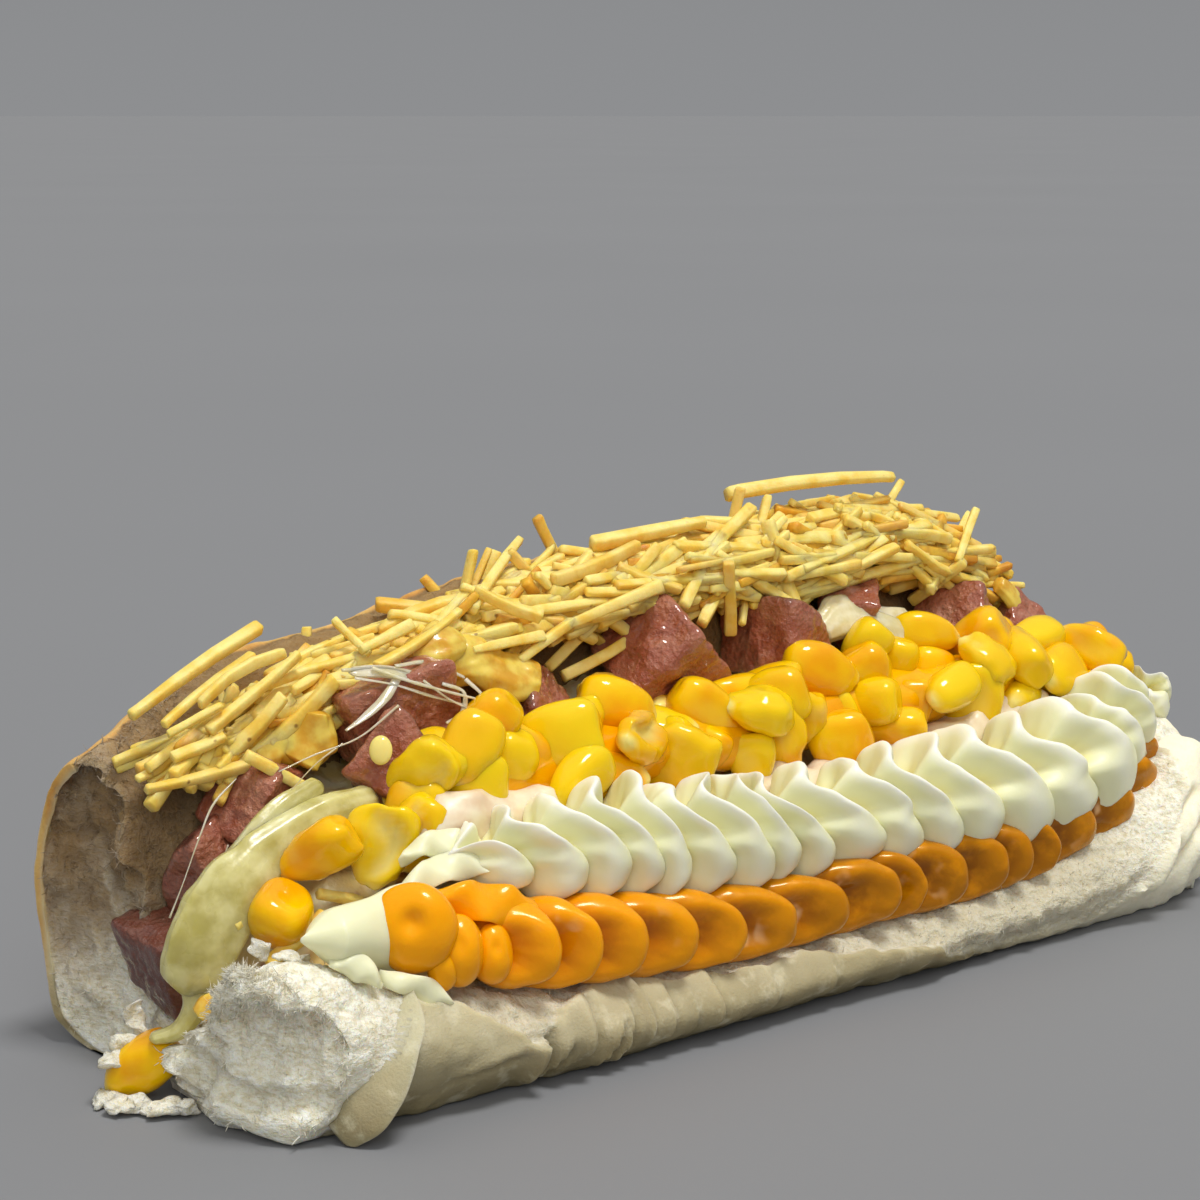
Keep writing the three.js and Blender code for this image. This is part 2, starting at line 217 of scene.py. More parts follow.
def bands(count, around):
    """The indices round a ring, the next ones, and the quads between count rings of around points."""
    i = np.arange(around)
    j = (i + 1) % around
    base = np.arange(count - 1)[:, None] * around
    quads = np.stack([base + i, base + j, base + around + j, base + around + i], axis=-1)
    return i, j, quads.reshape(-1, 4)


def tubes(rings):
    """Closed bodies through rings (bodies, rings, around, 3), each shut at its ends by pole points."""
    bodies, count, around = rings.shape[:3]
    poles = rings[:, [0, -1]].mean(axis=2)
    points = np.concatenate([rings.reshape(bodies, -1, 3), poles], axis=1).reshape(-1, 3)
    i, j, quads = bands(count, around)
    last = (count - 1) * around
    start = np.full(around, count * around)
    caps = np.concatenate([
        np.stack([j, i, start], axis=1),
        np.stack([last + i, last + j, start + 1], axis=1),
    ])
    shift = np.arange(bodies)[:, None, None] * (count * around + 2)
    return outward(points, (quads + shift).reshape(-1, 4), (caps + shift).reshape(-1, 3))


def tube(rings):
    """One closed body through rings (rings, around, 3)."""
    return tubes(rings[None])


def spread(values):
    """Per-point values (bodies, rings, around) with each body's two pole values added."""
    poles = values[:, [0, -1]].mean(axis=2)
    return np.concatenate([values.reshape(len(values), -1), poles], axis=1).ravel()


def outward(points, quads, triangles):
    """The same body with its faces turned to point outwards, by the sign of its volume."""
    a, b, c, d = (points[quads[:, k]] for k in range(4))
    volume = np.einsum("ij,ij->", a, np.cross(b, c)) + np.einsum("ij,ij->", a, np.cross(c, d))
    if len(triangles):
        a, b, c = (points[triangles[:, k]] for k in range(3))
        volume += np.einsum("ij,ij->", a, np.cross(b, c))
    if volume < 0:
        quads, triangles = quads[:, ::-1], triangles[:, ::-1]
    return points, quads, triangles


def even(bodies, value):
    """The same value at every point of all the bodies."""
    return np.full(sum(len(body[0]) for body in bodies), float(value))


def joined(bodies):
    """Many (points, quads, triangles) bodies as one."""
    sizes = np.cumsum([0] + [len(body[0]) for body in bodies])
    return (
        np.concatenate([body[0] for body in bodies]),
        np.concatenate([body[1] + at for body, at in zip(bodies, sizes)]),
        np.concatenate([body[2] + at for body, at in zip(bodies, sizes)]),
    )


def full_turn(count):
    """Angles round a full turn, without its end."""
    return np.linspace(0, 2 * np.pi, count, endpoint=False)


def ball(rings, around):
    """Directions over a sphere as (rings, around, 3), poles left out."""
    polar = np.linspace(0, np.pi, rings + 2)[1:-1, None]
    turn = full_turn(around)[None]
    level = np.sin(polar)
    return np.stack([level * np.cos(turn), level * np.sin(turn), np.cos(polar) + 0 * turn], axis=-1)


def piece(name, body, material, slot, replaces=(), **shades):
    """One finished mesh piece from a body in mm, with its per-point shades as attributes."""
    points, quads, triangles = body
    mesh = bpy.data.meshes.new(name)
    mesh.vertices.add(len(points))
    mesh.vertices.foreach_set("co", ((points + SHIFT) * MM).astype(np.float32).ravel())
    corners = np.concatenate([quads.ravel(), triangles.ravel()]).astype(np.int32)
    mesh.loops.add(len(corners))
    mesh.loops.foreach_set("vertex_index", corners)
    starts = np.concatenate([np.arange(len(quads)) * 4, len(quads) * 4 + np.arange(len(triangles)) * 3])
    mesh.polygons.add(len(starts))
    mesh.polygons.foreach_set("loop_start", starts.astype(np.int32))
    mesh.polygons.foreach_set("use_smooth", np.ones(len(starts), bool))
    mesh.update(calc_edges=True)
    mesh.validate()
    for shade, values in shades.items():
        mesh.attributes.new(shade, "FLOAT", "POINT").data.foreach_set("value", values.astype(np.float32))
    mesh.materials.append(material)
    thing = bpy.data.objects.new(name, mesh)
    bpy.context.collection.objects.link(thing)
    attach(thing, "root")
    if replaces:
        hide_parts(*replaces)
    return thing


# ------------------------------------------------------------------ shader arithmetic


class Value:
    """A shader socket that takes part in sums, and from which any other node is reached."""

    def __init__(self, tree, socket):
        self.tree = tree
        self.socket = socket

    def node(self, kind, settings, inputs, out=0):
        """Adds a node: its settings first, then the values or links of its sockets."""
        made = self.tree.nodes.new(kind)
        for key, setting in settings.items():
            setattr(made, key, setting)
        for key, given in inputs.items():
            if isinstance(given, Value):
                self.tree.links.new(given.socket, made.inputs[key])
            else:
                made.inputs[key].default_value = given
        return Value(self.tree, made.outputs[out])

    def math(self, operation, a, b=0.0):
        """One step of arithmetic with two values."""
        return self.node("ShaderNodeMath", {"operation": operation}, {0: a, 1: b})

    def __add__(self, other):
        return self.math("ADD", self, other)

    __radd__ = __add__

    def __sub__(self, other):
        return self.math("SUBTRACT", self, other)

    def __rsub__(self, other):
        return self.math("SUBTRACT", other, self)

    def __mul__(self, other):
        return self.math("MULTIPLY", self, other)

    __rmul__ = __mul__

    def step(self, low, high):
        """0 below low, 1 above high, smooth between."""
        settings = {"interpolation_type": "SMOOTHSTEP"}
        inputs = {"Value": self, "From Min": low, "From Max": high}
        return self.node("ShaderNodeMapRange", settings, inputs)

    def blend(self, first, second):
        """The first colour where this is 0, the second where it is 1."""
        inputs = {"Factor": self, 6: first, 7: second}
        return self.node("ShaderNodeMix", {"data_type": "RGBA"}, inputs, out=2)

    def stretched(self, x, y, z):
        """The position with each axis scaled, so that what is drawn over it is drawn out or packed."""
        return self.node("ShaderNodeVectorMath", {"operation": "MULTIPLY"}, {0: self, 1: (x, y, z)})

    def grain(self, size, detail=2.0, roughness=0.5):
        """Noise over the surface, 0 to 1, of a size in mm; self is the position."""
        inputs = {"Vector": self, "Scale": 1 / (size * MM), "Detail": detail, "Roughness": roughness}
        return self.node("ShaderNodeTexNoise", {}, inputs)

    def cells(self, size):
        """Distance to scattered points a size in mm apart; self is the position."""
        inputs = {"Vector": self, "Scale": 1 / (size * MM)}
        return self.node("ShaderNodeTexVoronoi", {}, inputs)

    def axis(self, number):
        """One coordinate of the position, 0 to 2."""
        return self.node("ShaderNodeSeparateXYZ", {}, {0: self}, out=number)

    def shade(self, name):
        """The piece's own per-point attribute."""
        return self.node("ShaderNodeAttribute", {"attribute_name": name}, {}, out=2)


def colour(red, green, blue):
    """A colour given as it looks on screen, 0 to 255, in the shader's linear light."""
    values = np.array([red, green, blue]) / 255
    linear = np.where(values <= 0.04045, values / 12.92, ((values + 0.055) / 1.055) ** 2.4)
    return (*linear.tolist(), 1.0)


def finish(name, paint, **sockets):
    """A material: constants go on the shader's own sockets, paint(place) gives what varies."""
    material = bpy.data.materials.new(name)
    material.use_nodes = True
    tree = material.node_tree
    shader = tree.nodes["Principled BSDF"]
    for key, constant in sockets.items():
        shader.inputs[key.replace("_", " ")].default_value = constant
    place = Value(tree, tree.nodes.new("ShaderNodeTexCoord").outputs["Object"])
    for key, value in paint(place).items():
        if key == "height":
            strength, distance, height = value
            inputs = {"Strength": strength, "Distance": distance * MM, "Height": height}
            bump = place.node("ShaderNodeBump", {}, inputs)
            tree.links.new(bump.socket, shader.inputs["Normal"])
        else:
            tree.links.new(value.socket, shader.inputs[key])
    return material


def two_toned(size, first, second, height):
    """A paint of soft patches, size mm across, from the first colour to the second."""
    return lambda place: {
        "Base Color": place.grain(size, 3).step(0.35, 0.65).blend(colour(*first), colour(*second)),
        "height": (height[0], height[1], place.grain(height[2], 3)),
    }


def studio():
    """Even surroundings, dimmer above the horizon, with a broad soft ceiling light overhead."""
    world = bpy.data.worlds.new("studio")
    world.use_nodes = True
    tree = world.node_tree
    way = Value(tree, tree.nodes.new("ShaderNodeTexCoord").outputs["Generated"])
    height = way.axis(2)
    tone = height.step(-0.02, 0.22).blend(colour(142, 143, 145), colour(128, 129, 131))
    tone = height.step(0.35, 0.95).blend(tone, colour(206, 205, 201))
    tree.links.new(tone.socket, tree.nodes["Background"].inputs["Color"])
    bpy.context.scene.world = world


studio()

# ------------------------------------------------------------------ bread

front_lip = along(
    (-94, 19.5), (-86, 19.3), (-79, 17.6), (-70, 15), (-60, 12.5), (-25, 8.7), (15, 9), (40, 10.5),
    (62, 15), (80, 24),
)
back_top = along(
    (-94, 38.5), (-86, 42.5), (-78, 47), (-52, 52), (-30, 56), (-12, 57.5), (20, 55.5), (45, 51),
    (62, 44), (80, 33),
)
tear_set_back = along(
    (-29, 11.5), (-26, 6.5), (-21, 4.5), (-15, 2.5), (-6, 1.2), (0, 2), (6, 6), (13, 6), (20, 2.2),
    (29, 1),
)

# How many spans between control points the outline has on the bread's outside, and in all.
OUTER_SPANS, ALL_SPANS = 11, 18

# Torn bits of bread lying about the open end: where, and their half sizes.
CRUMBS = (
    ((-93, 3.5, 9), (1.2, 1.0, 3.2)), ((-94.5, 2.6, 6.6), (3.2, 1.2, 1.2)),
    ((-96.8, 1.5, 5.2), (2.6, 1.6, 0.9)), ((-97.8, -2.2, 0.9), (3.0, 2.2, 0.8)),
    ((-95, -5.5, 0.8), (2.4, 2.6, 0.7)), ((-99.2, 1.6, 0.8), (1.8, 2.2, 0.7)),
    ((-93, -7.5, 1.0), (1.8, 1.6, 0.8)), ((-86.2, -14.2, 21.2), (0.9, 0.7, 1.5)),
    ((-84, -16.2, 20.8), (1.6, 0.7, 0.6)), ((-88.5, -9.5, 14.4), (1.2, 1.0, 1.1)),
    ((-81.5, -17, 20.2), (1.4, 0.6, 0.6)),
)


def bun_outline(x):
    """The bread's section at each x as control points: its outside from front lip to back lip, then the
    trough."""
    lip, top = front_lip(x), back_top(x)
    flat = np.zeros_like(x)
    opened = ramp(TROUGH_END + 2 - x, 0, 18) ** 0.6

    def at(y, z):
        return np.stack([flat + y, flat + z], axis=-1)

    def trough(y, z):
        along_chord = (y + 18) / 32
        closed = lip + 2 + (top - lip - 4) * along_chord + 3 * np.sin(math.pi * along_chord)
        return at(y, closed + (z - closed) * opened)

    return np.stack([
        at(-18.5, lip + 1), at(-25, lip - 0.5), at(-BUN_HALF_DEPTH, lip * 0.55), at(-25.5, 1.4),
        at(-21, 0), at(0, -0.2), at(21, 0), at(26, 4), at(BUN_HALF_DEPTH, 16),
        at(BUN_HALF_DEPTH, top * 0.62), at(26.5, top - 7), at(20, top), trough(14.5, top - 3.5),
        trough(12, top * 0.62), trough(9.5, FLOOR_THICKNESS + 5), trough(5.5, FLOOR_THICKNESS),
        trough(-2, FLOOR_THICKNESS), trough(-13.5, lip * 0.75),
    ], axis=1)


# How high the skin reaches up the front wall.
skin_top = along(
    (-90, 19), (-73, 15.5), (-62, 11), (-54, 7), (-48, 9.5), (-20, 7.5), (0, 7), (14, 5), (26, 2.6),
    (44, 3), (56, 4.5), (64, 9), (72, 17), (80, 30), (94, 44),
)


def crust_edge(x, z):
    """1 on the bread's skin and 0 on bare crumb, on its outside: the skin starts past a slanted peel line
    at the torn end, and stops short of the lip by more towards the closed end."""
    spots = np.stack([x, 0 * x + 3, z], axis=-1)
    ragged = layers(spots, (1.2, 5, 3), (0.6, 1.8, 4))
    past_peel = x - (-84.5 + 0.78 * z) + ragged
    below_top = skin_top(x) - z + 0.7 * ragged
    return np.minimum(past_peel, below_top)


# Folds in the front skin: where they lie (x, z), their slant, half length, depth and width.
CREASES = (
    (-62, 5.2, 0.12, 7, 0.5, 0.5), (-53, 6, 1.45, 6, 1.3, 0.8), (-50.5, 3, 1.1, 4, 0.5, 0.6),
    (-45, 7, 1.5, 4, 0.9, 0.9), (-42, 4, 1.0, 4, 0.6, 0.5), (-39.5, 4.5, 1.3, 4, 0.6, 0.5),
    (-36, 7, 1.55, 4, 0.8, 0.35), (-32, 6, 1.4, 3.5, 0.3, 0.5), (-28, 5, 1.5, 3.5, 0.25, 0.5),
    (-24, 6, 1.6, 3.5, 0.3, 0.5), (-14, 5, 1.5, 3, 0.25, 0.6), (-3, 4, 1.4, 3, 0.25, 0.6),
    (66, 8, 1.0, 6, 0.9, 0.8), (70, 10, 0.7, 7, 0.8, 0.8), (73, 7, 1.2, 6, 1.0, 0.9),
    (77, 12, 0.9, 7, 0.8, 0.8), (80, 6, 1.3, 5, 0.8, 0.8), (84, 14, 1.1, 8, 0.8, 0.9),
    (72, 16, 0.5, 5, 0.6, 0.7), (88, 9, 1.5, 6, 0.7, 0.9),
)


def folds(x, z):
    """The depth of the skin's creases: narrow valleys along short lines, with a soft roll beside each."""
    total = np.zeros_like(x)
    for cx, cz, slant, half, depth, width in CREASES:
        run = (x - cx) * math.cos(slant) + (z - cz) * math.sin(slant)
        off = -(x - cx) * math.sin(slant) + (z - cz) * math.cos(slant) + 0.05 * run**2 / half
        fade = ramp(half - np.abs(run), 0, half * 0.6)
        roll = np.exp(-(((off - 2 * width) / (1.6 * width)) ** 2))
        total += depth * fade * (np.exp(-((off / width) ** 2)) - 0.7 * roll)
    return total


def bread_relief(points, normals, crumb, torn):
    """Points pushed along their normals: fine fluff and pits where crumb shows, soft rolls on skin."""
    fluff = layers(points, (0.45, 3.4, 11), (0.28 + 0.2 * torn, 1.7, 12), (0.22, 0.9, 13))
    fluff += torn * layers(points, (0.9, 7.5, 24), (0.35, 2.6, 25), (0.16, 0.55, 26))
    pits = np.maximum(0, noise(points, 2.1, 16) - 0.35) * 0.8
    stretched = points * np.array([1.0, 0.35, 0.3])
    rolls = layers(points, (0.45, 15, 17), (0.16, 5, 18))
    rolls += 0.34 * noise(stretched, 2.6, 19)
    rolls += 0.1 * noise(points, 1.3, 20)
    return points + normals * (crumb * (fluff - pits) + (1 - crumb) * rolls)[..., None]


def grid_normals(grid):
    """Outward directions over rings of points: the cross product of the steps round and along them."""
    across = np.roll(grid, -1, axis=1) - np.roll(grid, 1, axis=1)
    return unit(np.cross(across, np.gradient(grid, axis=0)))


def make_bun():
    """The bun: sections along x, closed to a point at the right, and zipped along the wall's middle at
    the torn left end, where rings shrink from the outline to the line midway between its two sides."""
    half_samples = 150
    fine = np.linspace(0, 1, 400)
    density = 1 + 1.5 * ramp(0.22 - fine, 0, 0.1)
    density -= 0.65 * ramp(fine, 0.26, 0.32) * ramp(0.62 - fine, 0, 0.05)
    share = np.interp(np.linspace(0, 1, half_samples + 1), np.cumsum(density) / density.sum(), fine)
    share[0], share[-1] = 0, 1
    outer = OUTER_SPANS * share
    inner = ALL_SPANS - (ALL_SPANS - OUTER_SPANS) * share
    t = np.concatenate([outer, inner[-2:0:-1]])
    around = len(t)

    steps = 280
    u = np.linspace(0, 1, steps + 1)
    x = -BUN_HALF_LENGTH + 2 * BUN_HALF_LENGTH * (0.15 * u + 0.85 * (1 - (1 - u) ** 1.15))
    sections = through(bun_outline(x), t)
    into_end = np.clip((x - BUN_HALF_LENGTH + ROUNDED_END) / ROUNDED_END, 0, 1)
    size = ((1 - into_end**2.4) ** (1 / 2.4))[:, None]
    y = 1 + (sections[..., 0] - 1) * size
    z = 11 + (sections[..., 1] - 11) * size
    tear = np.maximum(0, 1 - (x + BUN_HALF_LENGTH) / TORN_REACH)[:, None] ** 2.5
    spots = np.stack([0 * y, sections[..., 0], sections[..., 1]], axis=-1)
    ragged = 1 - 0.9 * ramp(sections[..., 0], 15, 22)
    set_back = tear_set_back(sections[..., 0]) + ragged * layers(spots, (2.0, 6, 5), (1.0, 2.5, 6))
    grid = np.stack([x[:, None] + tear * set_back, y, z], axis=-1)

    # the torn face: rings that shrink to the line midway between outside and trough
    shares = np.minimum(np.arange(around), around - np.arange(around))
    rim = grid[0]
    middle = (rim + rim[(-np.arange(around)) % around]) / 2
    cap_rings = 22
    shrink = ((np.arange(cap_rings, 0, -1) / (cap_rings + 1)) ** 1.4)[:, None, None]
    cap = rim + (middle - rim) * shrink
    bulge = np.sin(np.pi / 2 * shrink[..., 0] ** 0.6)
    cap[..., 0] += bulge * (2.6 * ramp(cap[..., 1], 6, 15) - 2.4 * ramp(-cap[..., 1], 8, 15))
    whole = np.concatenate([cap, grid])
    torn = np.concatenate([np.ones(cap_rings), 0 * x])[:, None] * np.ones(around)
    deep = np.concatenate([shrink[:, 0, 0], 0 * x])[:, None] * np.ones(around)

    outside = np.broadcast_to((np.arange(around) <= half_samples)[None, :], torn.shape)
    wx, wy, wz = whole[..., 0], whole[..., 1], whole[..., 2]
    edge = crust_edge(wx, wz)
    front = wy < 0
    back_skin = 1 - ramp(deep * (1 + 0.6 * noise(whole, 3, 8)), 0.012, 0.05)
    skin = np.where(front, ramp(edge, -0.4, 0.4) * (1 - torn), back_skin)
    skin = np.where(outside, skin, 0)
    closed = ramp(wx + 2.5 * noise(whole, 5, 46), 84, 87)
    crumb = (1 - skin) * (1 - closed)
    skin = 1 - crumb
    normals = grid_normals(whole)
    relief = bread_relief(whole, normals, crumb, torn) - whole
    lifted = whole + relief * ramp(SMOOTH_TIP - wx, 0, 5)[..., None]
    lip_of_skin = np.where(front & outside, skin * np.exp(-np.maximum(edge, 0) / 1.2), 0)
    creased = 2.0 * np.where(front & outside, folds(wx, wz) * skin, 0) * ramp(SMOOTH_TIP - wx, 0, 6)
    lifted = lifted + normals * (0.6 * skin + 0.8 * lip_of_skin - creased)[..., None]
    inner = np.where(outside, 0, ramp(-76 - wx, 0, 8) * (1 - torn))
    loose = (torn * np.where(front, 1, ramp(deep, 0.0, 0.12)) + inner) * ramp(wz, 0.5, 3)
    tufts = 0.9 * wobble(whole, 4.5, 30) + 0.42 * wobble(whole, 2.2, 33) + 0.25 * wobble(whole, 1.1, 36)
    lifted = lifted + tufts * loose[..., None]
    grounded = (1 - ramp(wz, 0.3, 3.5)) * ramp(-80 - wx, 0, 4)
    lifted += (whole - lifted) * grounded[..., None]
    lifted[..., 0] += 1.6 * (1 - ramp(wz, 0, 4)) * ramp(-84 - wx, 0, 6)
    under = (np.abs(wy) < 22) & (wz < 1.5) & (torn < 0.5) & outside
    lifted[..., 2] = np.where(under, 0, np.maximum(lifted[..., 2], 0))

    # faces: rings joined around, the first ring zipped to the middle line, the last closed by a pole
    rings = len(whole)
    points = lifted.reshape(-1, 3)
    i, j, quads = bands(rings, around)
    seam_at = len(points)
    seam = (lifted[0] + lifted[0][(-i) % around])[: half_samples + 1] / 2
    pole = lifted[-1].mean(axis=0)
    points = np.concatenate([points, seam, [pole]])
    zipped = np.stack([seam_at + shares[i], seam_at + shares[j], j, i], axis=-1)
    last = (rings - 1) * around
    cap_tris = np.stack([last + i, last + j, np.full(around, len(points) - 1)], axis=1)
    body = outward(points, np.concatenate([quads, zipped]), cap_tris)

    # On the outside this value is the golden crust's browning from the oven; inside the trough and on the
    # back of the torn face it is painted shade that browns the crumb, thinned in patches near the tear.
    bake = np.where(outside, ramp(wz, -6, 24) * ramp(wy, 12, 24), ramp(wz, 0, 34) * ramp(wy, 0, 13))
    near_tear = ramp(-79 - wx + 4 * noise(whole, 4.5, 44) + 2 * noise(whole, 2, 45), 0, 12)
    bake = np.where(outside & (torn < 0.5), bake, bake * (1 - 0.5 * near_tear))

    def pad(values):
        return np.concatenate([values.ravel(), values[0, : half_samples + 1], [values[-1].mean()]])

    bun = piece("bun_bread", body, BREAD, "bread", ["bun"], crumb=pad(crumb), bake=pad(bake))
    bun.data.set_sharp_from_angle(angle=math.radians(72))
    face = (torn > 0.5) & (wz > 1.5)
    make_shreds(lifted, grid_normals(lifted), bake, [
        (face & front, 1300, 1.3, 0.075),
        (face & ~front & (deep > 0.04), 900, 1.5, 0.075),
        (~outside & (torn < 0.5) & (wx < -78) & (wy > 8) & (wz > 8), 500, 1.6, 0.08),
        (face & front & (deep < 0.05), 260, 1.9, 0.10),
        (outside & (torn < 0.5) & front & (crumb > 0.9) & (wx < 82), 900, 0.9, 0.06),
    ])


def make_peel():
    """The edge of the skin where it peeled back with the tear: a thin sheet off the torn front."""
    flap = lick(
        [(-72, -25.5, 16.2), (-74.6, -28, 12.4), (-78, -29.4, 8.2), (-81, -29.3, 4.2),
         (-83.4, -27.4, 0.9)],
        ((0, 2), (0.2, 6), (0.6, 7), (1, 5)), 1.0, (-0.95, -0.5, 0.1), 21, 0.2,
    )
    flap[0][:, 2] = np.maximum(flap[0][:, 2], 0.05)
    piece("skin_flap", flap, BREAD, "bread", crumb=even([flap], 0), bake=even([flap], 0))


def make_shreds(points, normals, bake, groups):
    """Loose shreds of crumb, short bent leaves that stand off the torn bread where each group's mask is
    true, and the torn bits that lie about."""
    random = np.random.default_rng(17)
    grown, baked = [], []
    for where, count, length, width in groups:
        rows, columns = np.nonzero(where)
        chosen = random.choice(len(rows), count)
        at, out = points[rows[chosen], columns[chosen]], normals[rows[chosen], columns[chosen]]
        lean = unit(out + random.normal(0, 0.75, (count, 3)))
        side = unit(np.cross(lean, random.normal(0, 1, (count, 3))))
        bend = np.cross(lean, side)
        share = np.array([-0.3, 0.2, 0.6, 1.0])[None, :, None]
        long = random.uniform(0.4, 1.0, (count, 1, 1)) * length
        curl = bend[:, None] * (0.5 * long * share**2) * random.uniform(-1, 1, (count, 1, 1))
        middle = at[:, None] + lean[:, None] * long * share + curl
        turn = full_turn(6)
        taper = np.array([0.7, 1, 0.8, 0.3])[None, :, None]
        size = taper * width * random.uniform(0.6, 1.3, (count, 1, 1))
        baked.append(bake[rows[chosen], columns[chosen]])
        grown.append(middle[:, :, None] + side[:, None, None] * (np.cos(turn) * size)[..., None]
                     + bend[:, None, None] * (0.3 * np.sin(turn) * size)[..., None])
    rings = np.concatenate(grown)
    rings[..., 2] = np.maximum(rings[..., 2], 0.05)
    baked = np.repeat(np.concatenate(baked), rings.shape[1] * rings.shape[2] + 2)
    lumps = []
    for at, size in CRUMBS:
        way = ball(22, 30)
        spots = way * np.array(size) + np.array(at)
        ragged = 1.1 * wobble(spots, 2.6, 40) + 0.6 * wobble(spots, 1.2, 50)
        ragged += 0.3 * wobble(spots, 0.6, 60)
        spots = spots + ragged * np.array([1, 1, 0.6])
        spots[..., 2] = np.maximum(spots[..., 2], 0.02)
        lumps.append(tube(spots))
    tan = np.repeat([0.2 if at[2] < 10 else 0.02 for at, _ in CRUMBS], len(lumps[0][0]))
    baked = np.concatenate([baked, tan])
    piece("crumb_shreds", joined([tubes(rings)] + lumps), BREAD, "bread", crumb=1 + 0 * baked, bake=baked)


def bread_paint(place):
    """Pale clouded skin, golden where the oven browned it, darker along its bottom, partly its own tone
    and partly painted shade, and lighter towards the closed end as painted light; white fibrous crumb,
    with painted shade on the front slope and brown painted shade deep inside the back wall.
    """
    crumb, bake = place.shade("crumb"), place.shade("bake")
    x, z = place.axis(0), place.axis(2)
    cloudy = place.grain(9, 3)
    fibres = place.stretched(1, 0.45, 1.6).grain(0.8, 4, 0.65)
    webs = place.stretched(1.5, 1, 0.5).grain(1.6, 3, 0.6)
    pale_skin = cloudy.step(0.3, 0.7).blend(colour(214, 205, 172), colour(196, 185, 148))
    # Painted shade, partly the skin's own olive tone: the skin darkens along its bottom, below about 18
    # mm.
    low = 1 - (z + place.grain(6, 2) * 0.006).step(0.004, 0.018)
    pale_skin = low.blend(pale_skin, colour(152, 139, 104))
    # Painted light: the skin towards the closed end is lighter, where its slope faces up to the lamp.
    pale_skin = x.step(0.02, 0.075).blend(pale_skin, colour(248, 240, 212))
    golden = place.grain(6, 4).step(0.3, 0.75).blend(colour(222, 176, 106), colour(200, 142, 72))
    skin = bake.step(0.15, 0.85).blend(pale_skin, golden)
    dusted = (place.grain(4, 4, 0.6).step(0.52, 0.68) * 0.4).blend(skin, colour(226, 218, 188))
    soft = fibres.step(0.3, 0.62).blend(colour(230, 220, 188), colour(255, 252, 236))
    soft = ((1 - webs.step(0.3, 0.55)) * 0.3).blend(soft, colour(214, 200, 160))
    # Painted shade: the outer crumb along the front slope, under the creams, is darkened.
    shaded = x.step(-0.082, -0.062) * (1 - x.step(0.05, 0.07)) * 0.6
    soft = shaded.blend(soft, colour(184, 172, 138))
    # Painted shade: crumb turns brown inside the back wall, on the back of the torn face and on the
    # shreds grown there.
    soft = (bake.step(0.06, 0.6) * 0.9).blend(soft, colour(140, 106, 58))
    bread = crumb.step(0.2, 0.8).blend(bake.step(0.1, 0.5).blend(dusted, skin), soft)
    open_crumb = (fibres * 0.7 + webs * 0.7) * crumb
    pores = place.grain(0.35, 2) * (1 - crumb) * 0.12
    return {
        "Base Color": bread,
        "height": (0.9, 1.0, open_crumb + pores + place.grain(2.4, 4) * (1 - crumb) * 0.3),
    }


BREAD = finish(
    "soft_bread", bread_paint, Roughness=0.82, Subsurface_Weight=0.35, Subsurface_Scale=0.004,
    Subsurface_Radius=(1.0, 0.75, 0.45), Specular_IOR_Level=0.25,
)

make_bun()

# ------------------------------------------------------------------ creams


def rope(path, radius, steps=80, sides=16):
    """A plain rope along a path: circles that shrink towards its ends."""
    distance = np.linspace(0, path.length, steps)
    _, side, up = path.frame(distance)
    angle = full_turn(sides)
    size = radius * ramp(np.minimum(distance, path.length - distance), -2, 5)[:, None, None]
    ring = np.cos(angle)[None, :, None] * side[:, None] + np.sin(angle)[None, :, None] * up[:, None]
    return tube(path.at(distance)[:, None] + ring * size)


CREAM_PATH = Path([
    (-60, -17, 28), (-50, -17.2, 27.5), (-41, -17, 27), (-20, -17.3, 24.5), (5, -17.8, 23),
    (32, -17.8, 22.5), (52, -17, 23.2), (66, -14.4, 26.6), (75, -10.6, 30.5),
])
CHEDDAR_PATH = Path([
    (-61, -22, 19.2), (-56, -22.3, 18.6), (-50, -22.5, 17.7), (-38, -22.7, 16.3), (-20, -22.7, 14.1),
    (10, -22.6, 14.3), (36, -22.1, 14.5), (52, -21.1, 16.1), (62, -19.4, 18.1), (70, -16.5, 21.4),
    (76, -12.8, 24.9),
])


# A turn of white cream from valley to valley, as shares of its length ahead and of its swell outwards: at
# the foot a scallop that hangs free, in front a round belly, above it a roll behind a hollow, and at the
# crest a loop that stands half a turn away from that roll.
FOOT = np.array([
    (0, -1), (0.03, -0.82), (0.09, -0.5), (0.18, -0.12), (0.29, 0.2), (0.42, 0.38), (0.55, 0.38),
    (0.68, 0.24), (0.8, 0.02), (0.9, -0.24), (0.97, -0.48), (1.01, -0.66), (1.02, -0.8), (1.01, -0.9),
    (1.0, -0.96),
])
BELLY = np.array([
    (0, -1), (0.03, -0.72), (0.09, -0.38), (0.19, 0.02), (0.33, 0.36), (0.5, 0.55), (0.68, 0.6),
    (0.84, 0.54), (0.97, 0.42), (1.06, 0.26), (1.11, 0.08), (1.11, -0.14), (1.08, -0.4), (1.04, -0.68),
    (1.01, -0.87),
])
CREST = np.array([
    (0, -1), (0.1, -0.98), (0.22, -0.9), (0.35, -0.7), (0.48, -0.36), (0.6, 0.08), (0.71, 0.48),
    (0.82, 0.74), (0.91, 0.82), (0.99, 0.72), (1.05, 0.46), (1.07, 0.12), (1.06, -0.28), (1.03, -0.64),
    (1.01, -0.9),
])
LOOP = np.array([
    (0, -1.0), (0.06, -0.84), (0.13, -0.54), (0.2, -0.1), (0.28, 0.34), (0.37, 0.66), (0.46, 0.8),
    (0.55, 0.74), (0.63, 0.46), (0.69, 0.06), (0.73, -0.38), (0.78, -0.72), (0.85, -0.92), (0.92, -1.02),
    (0.97, -1.04),
])

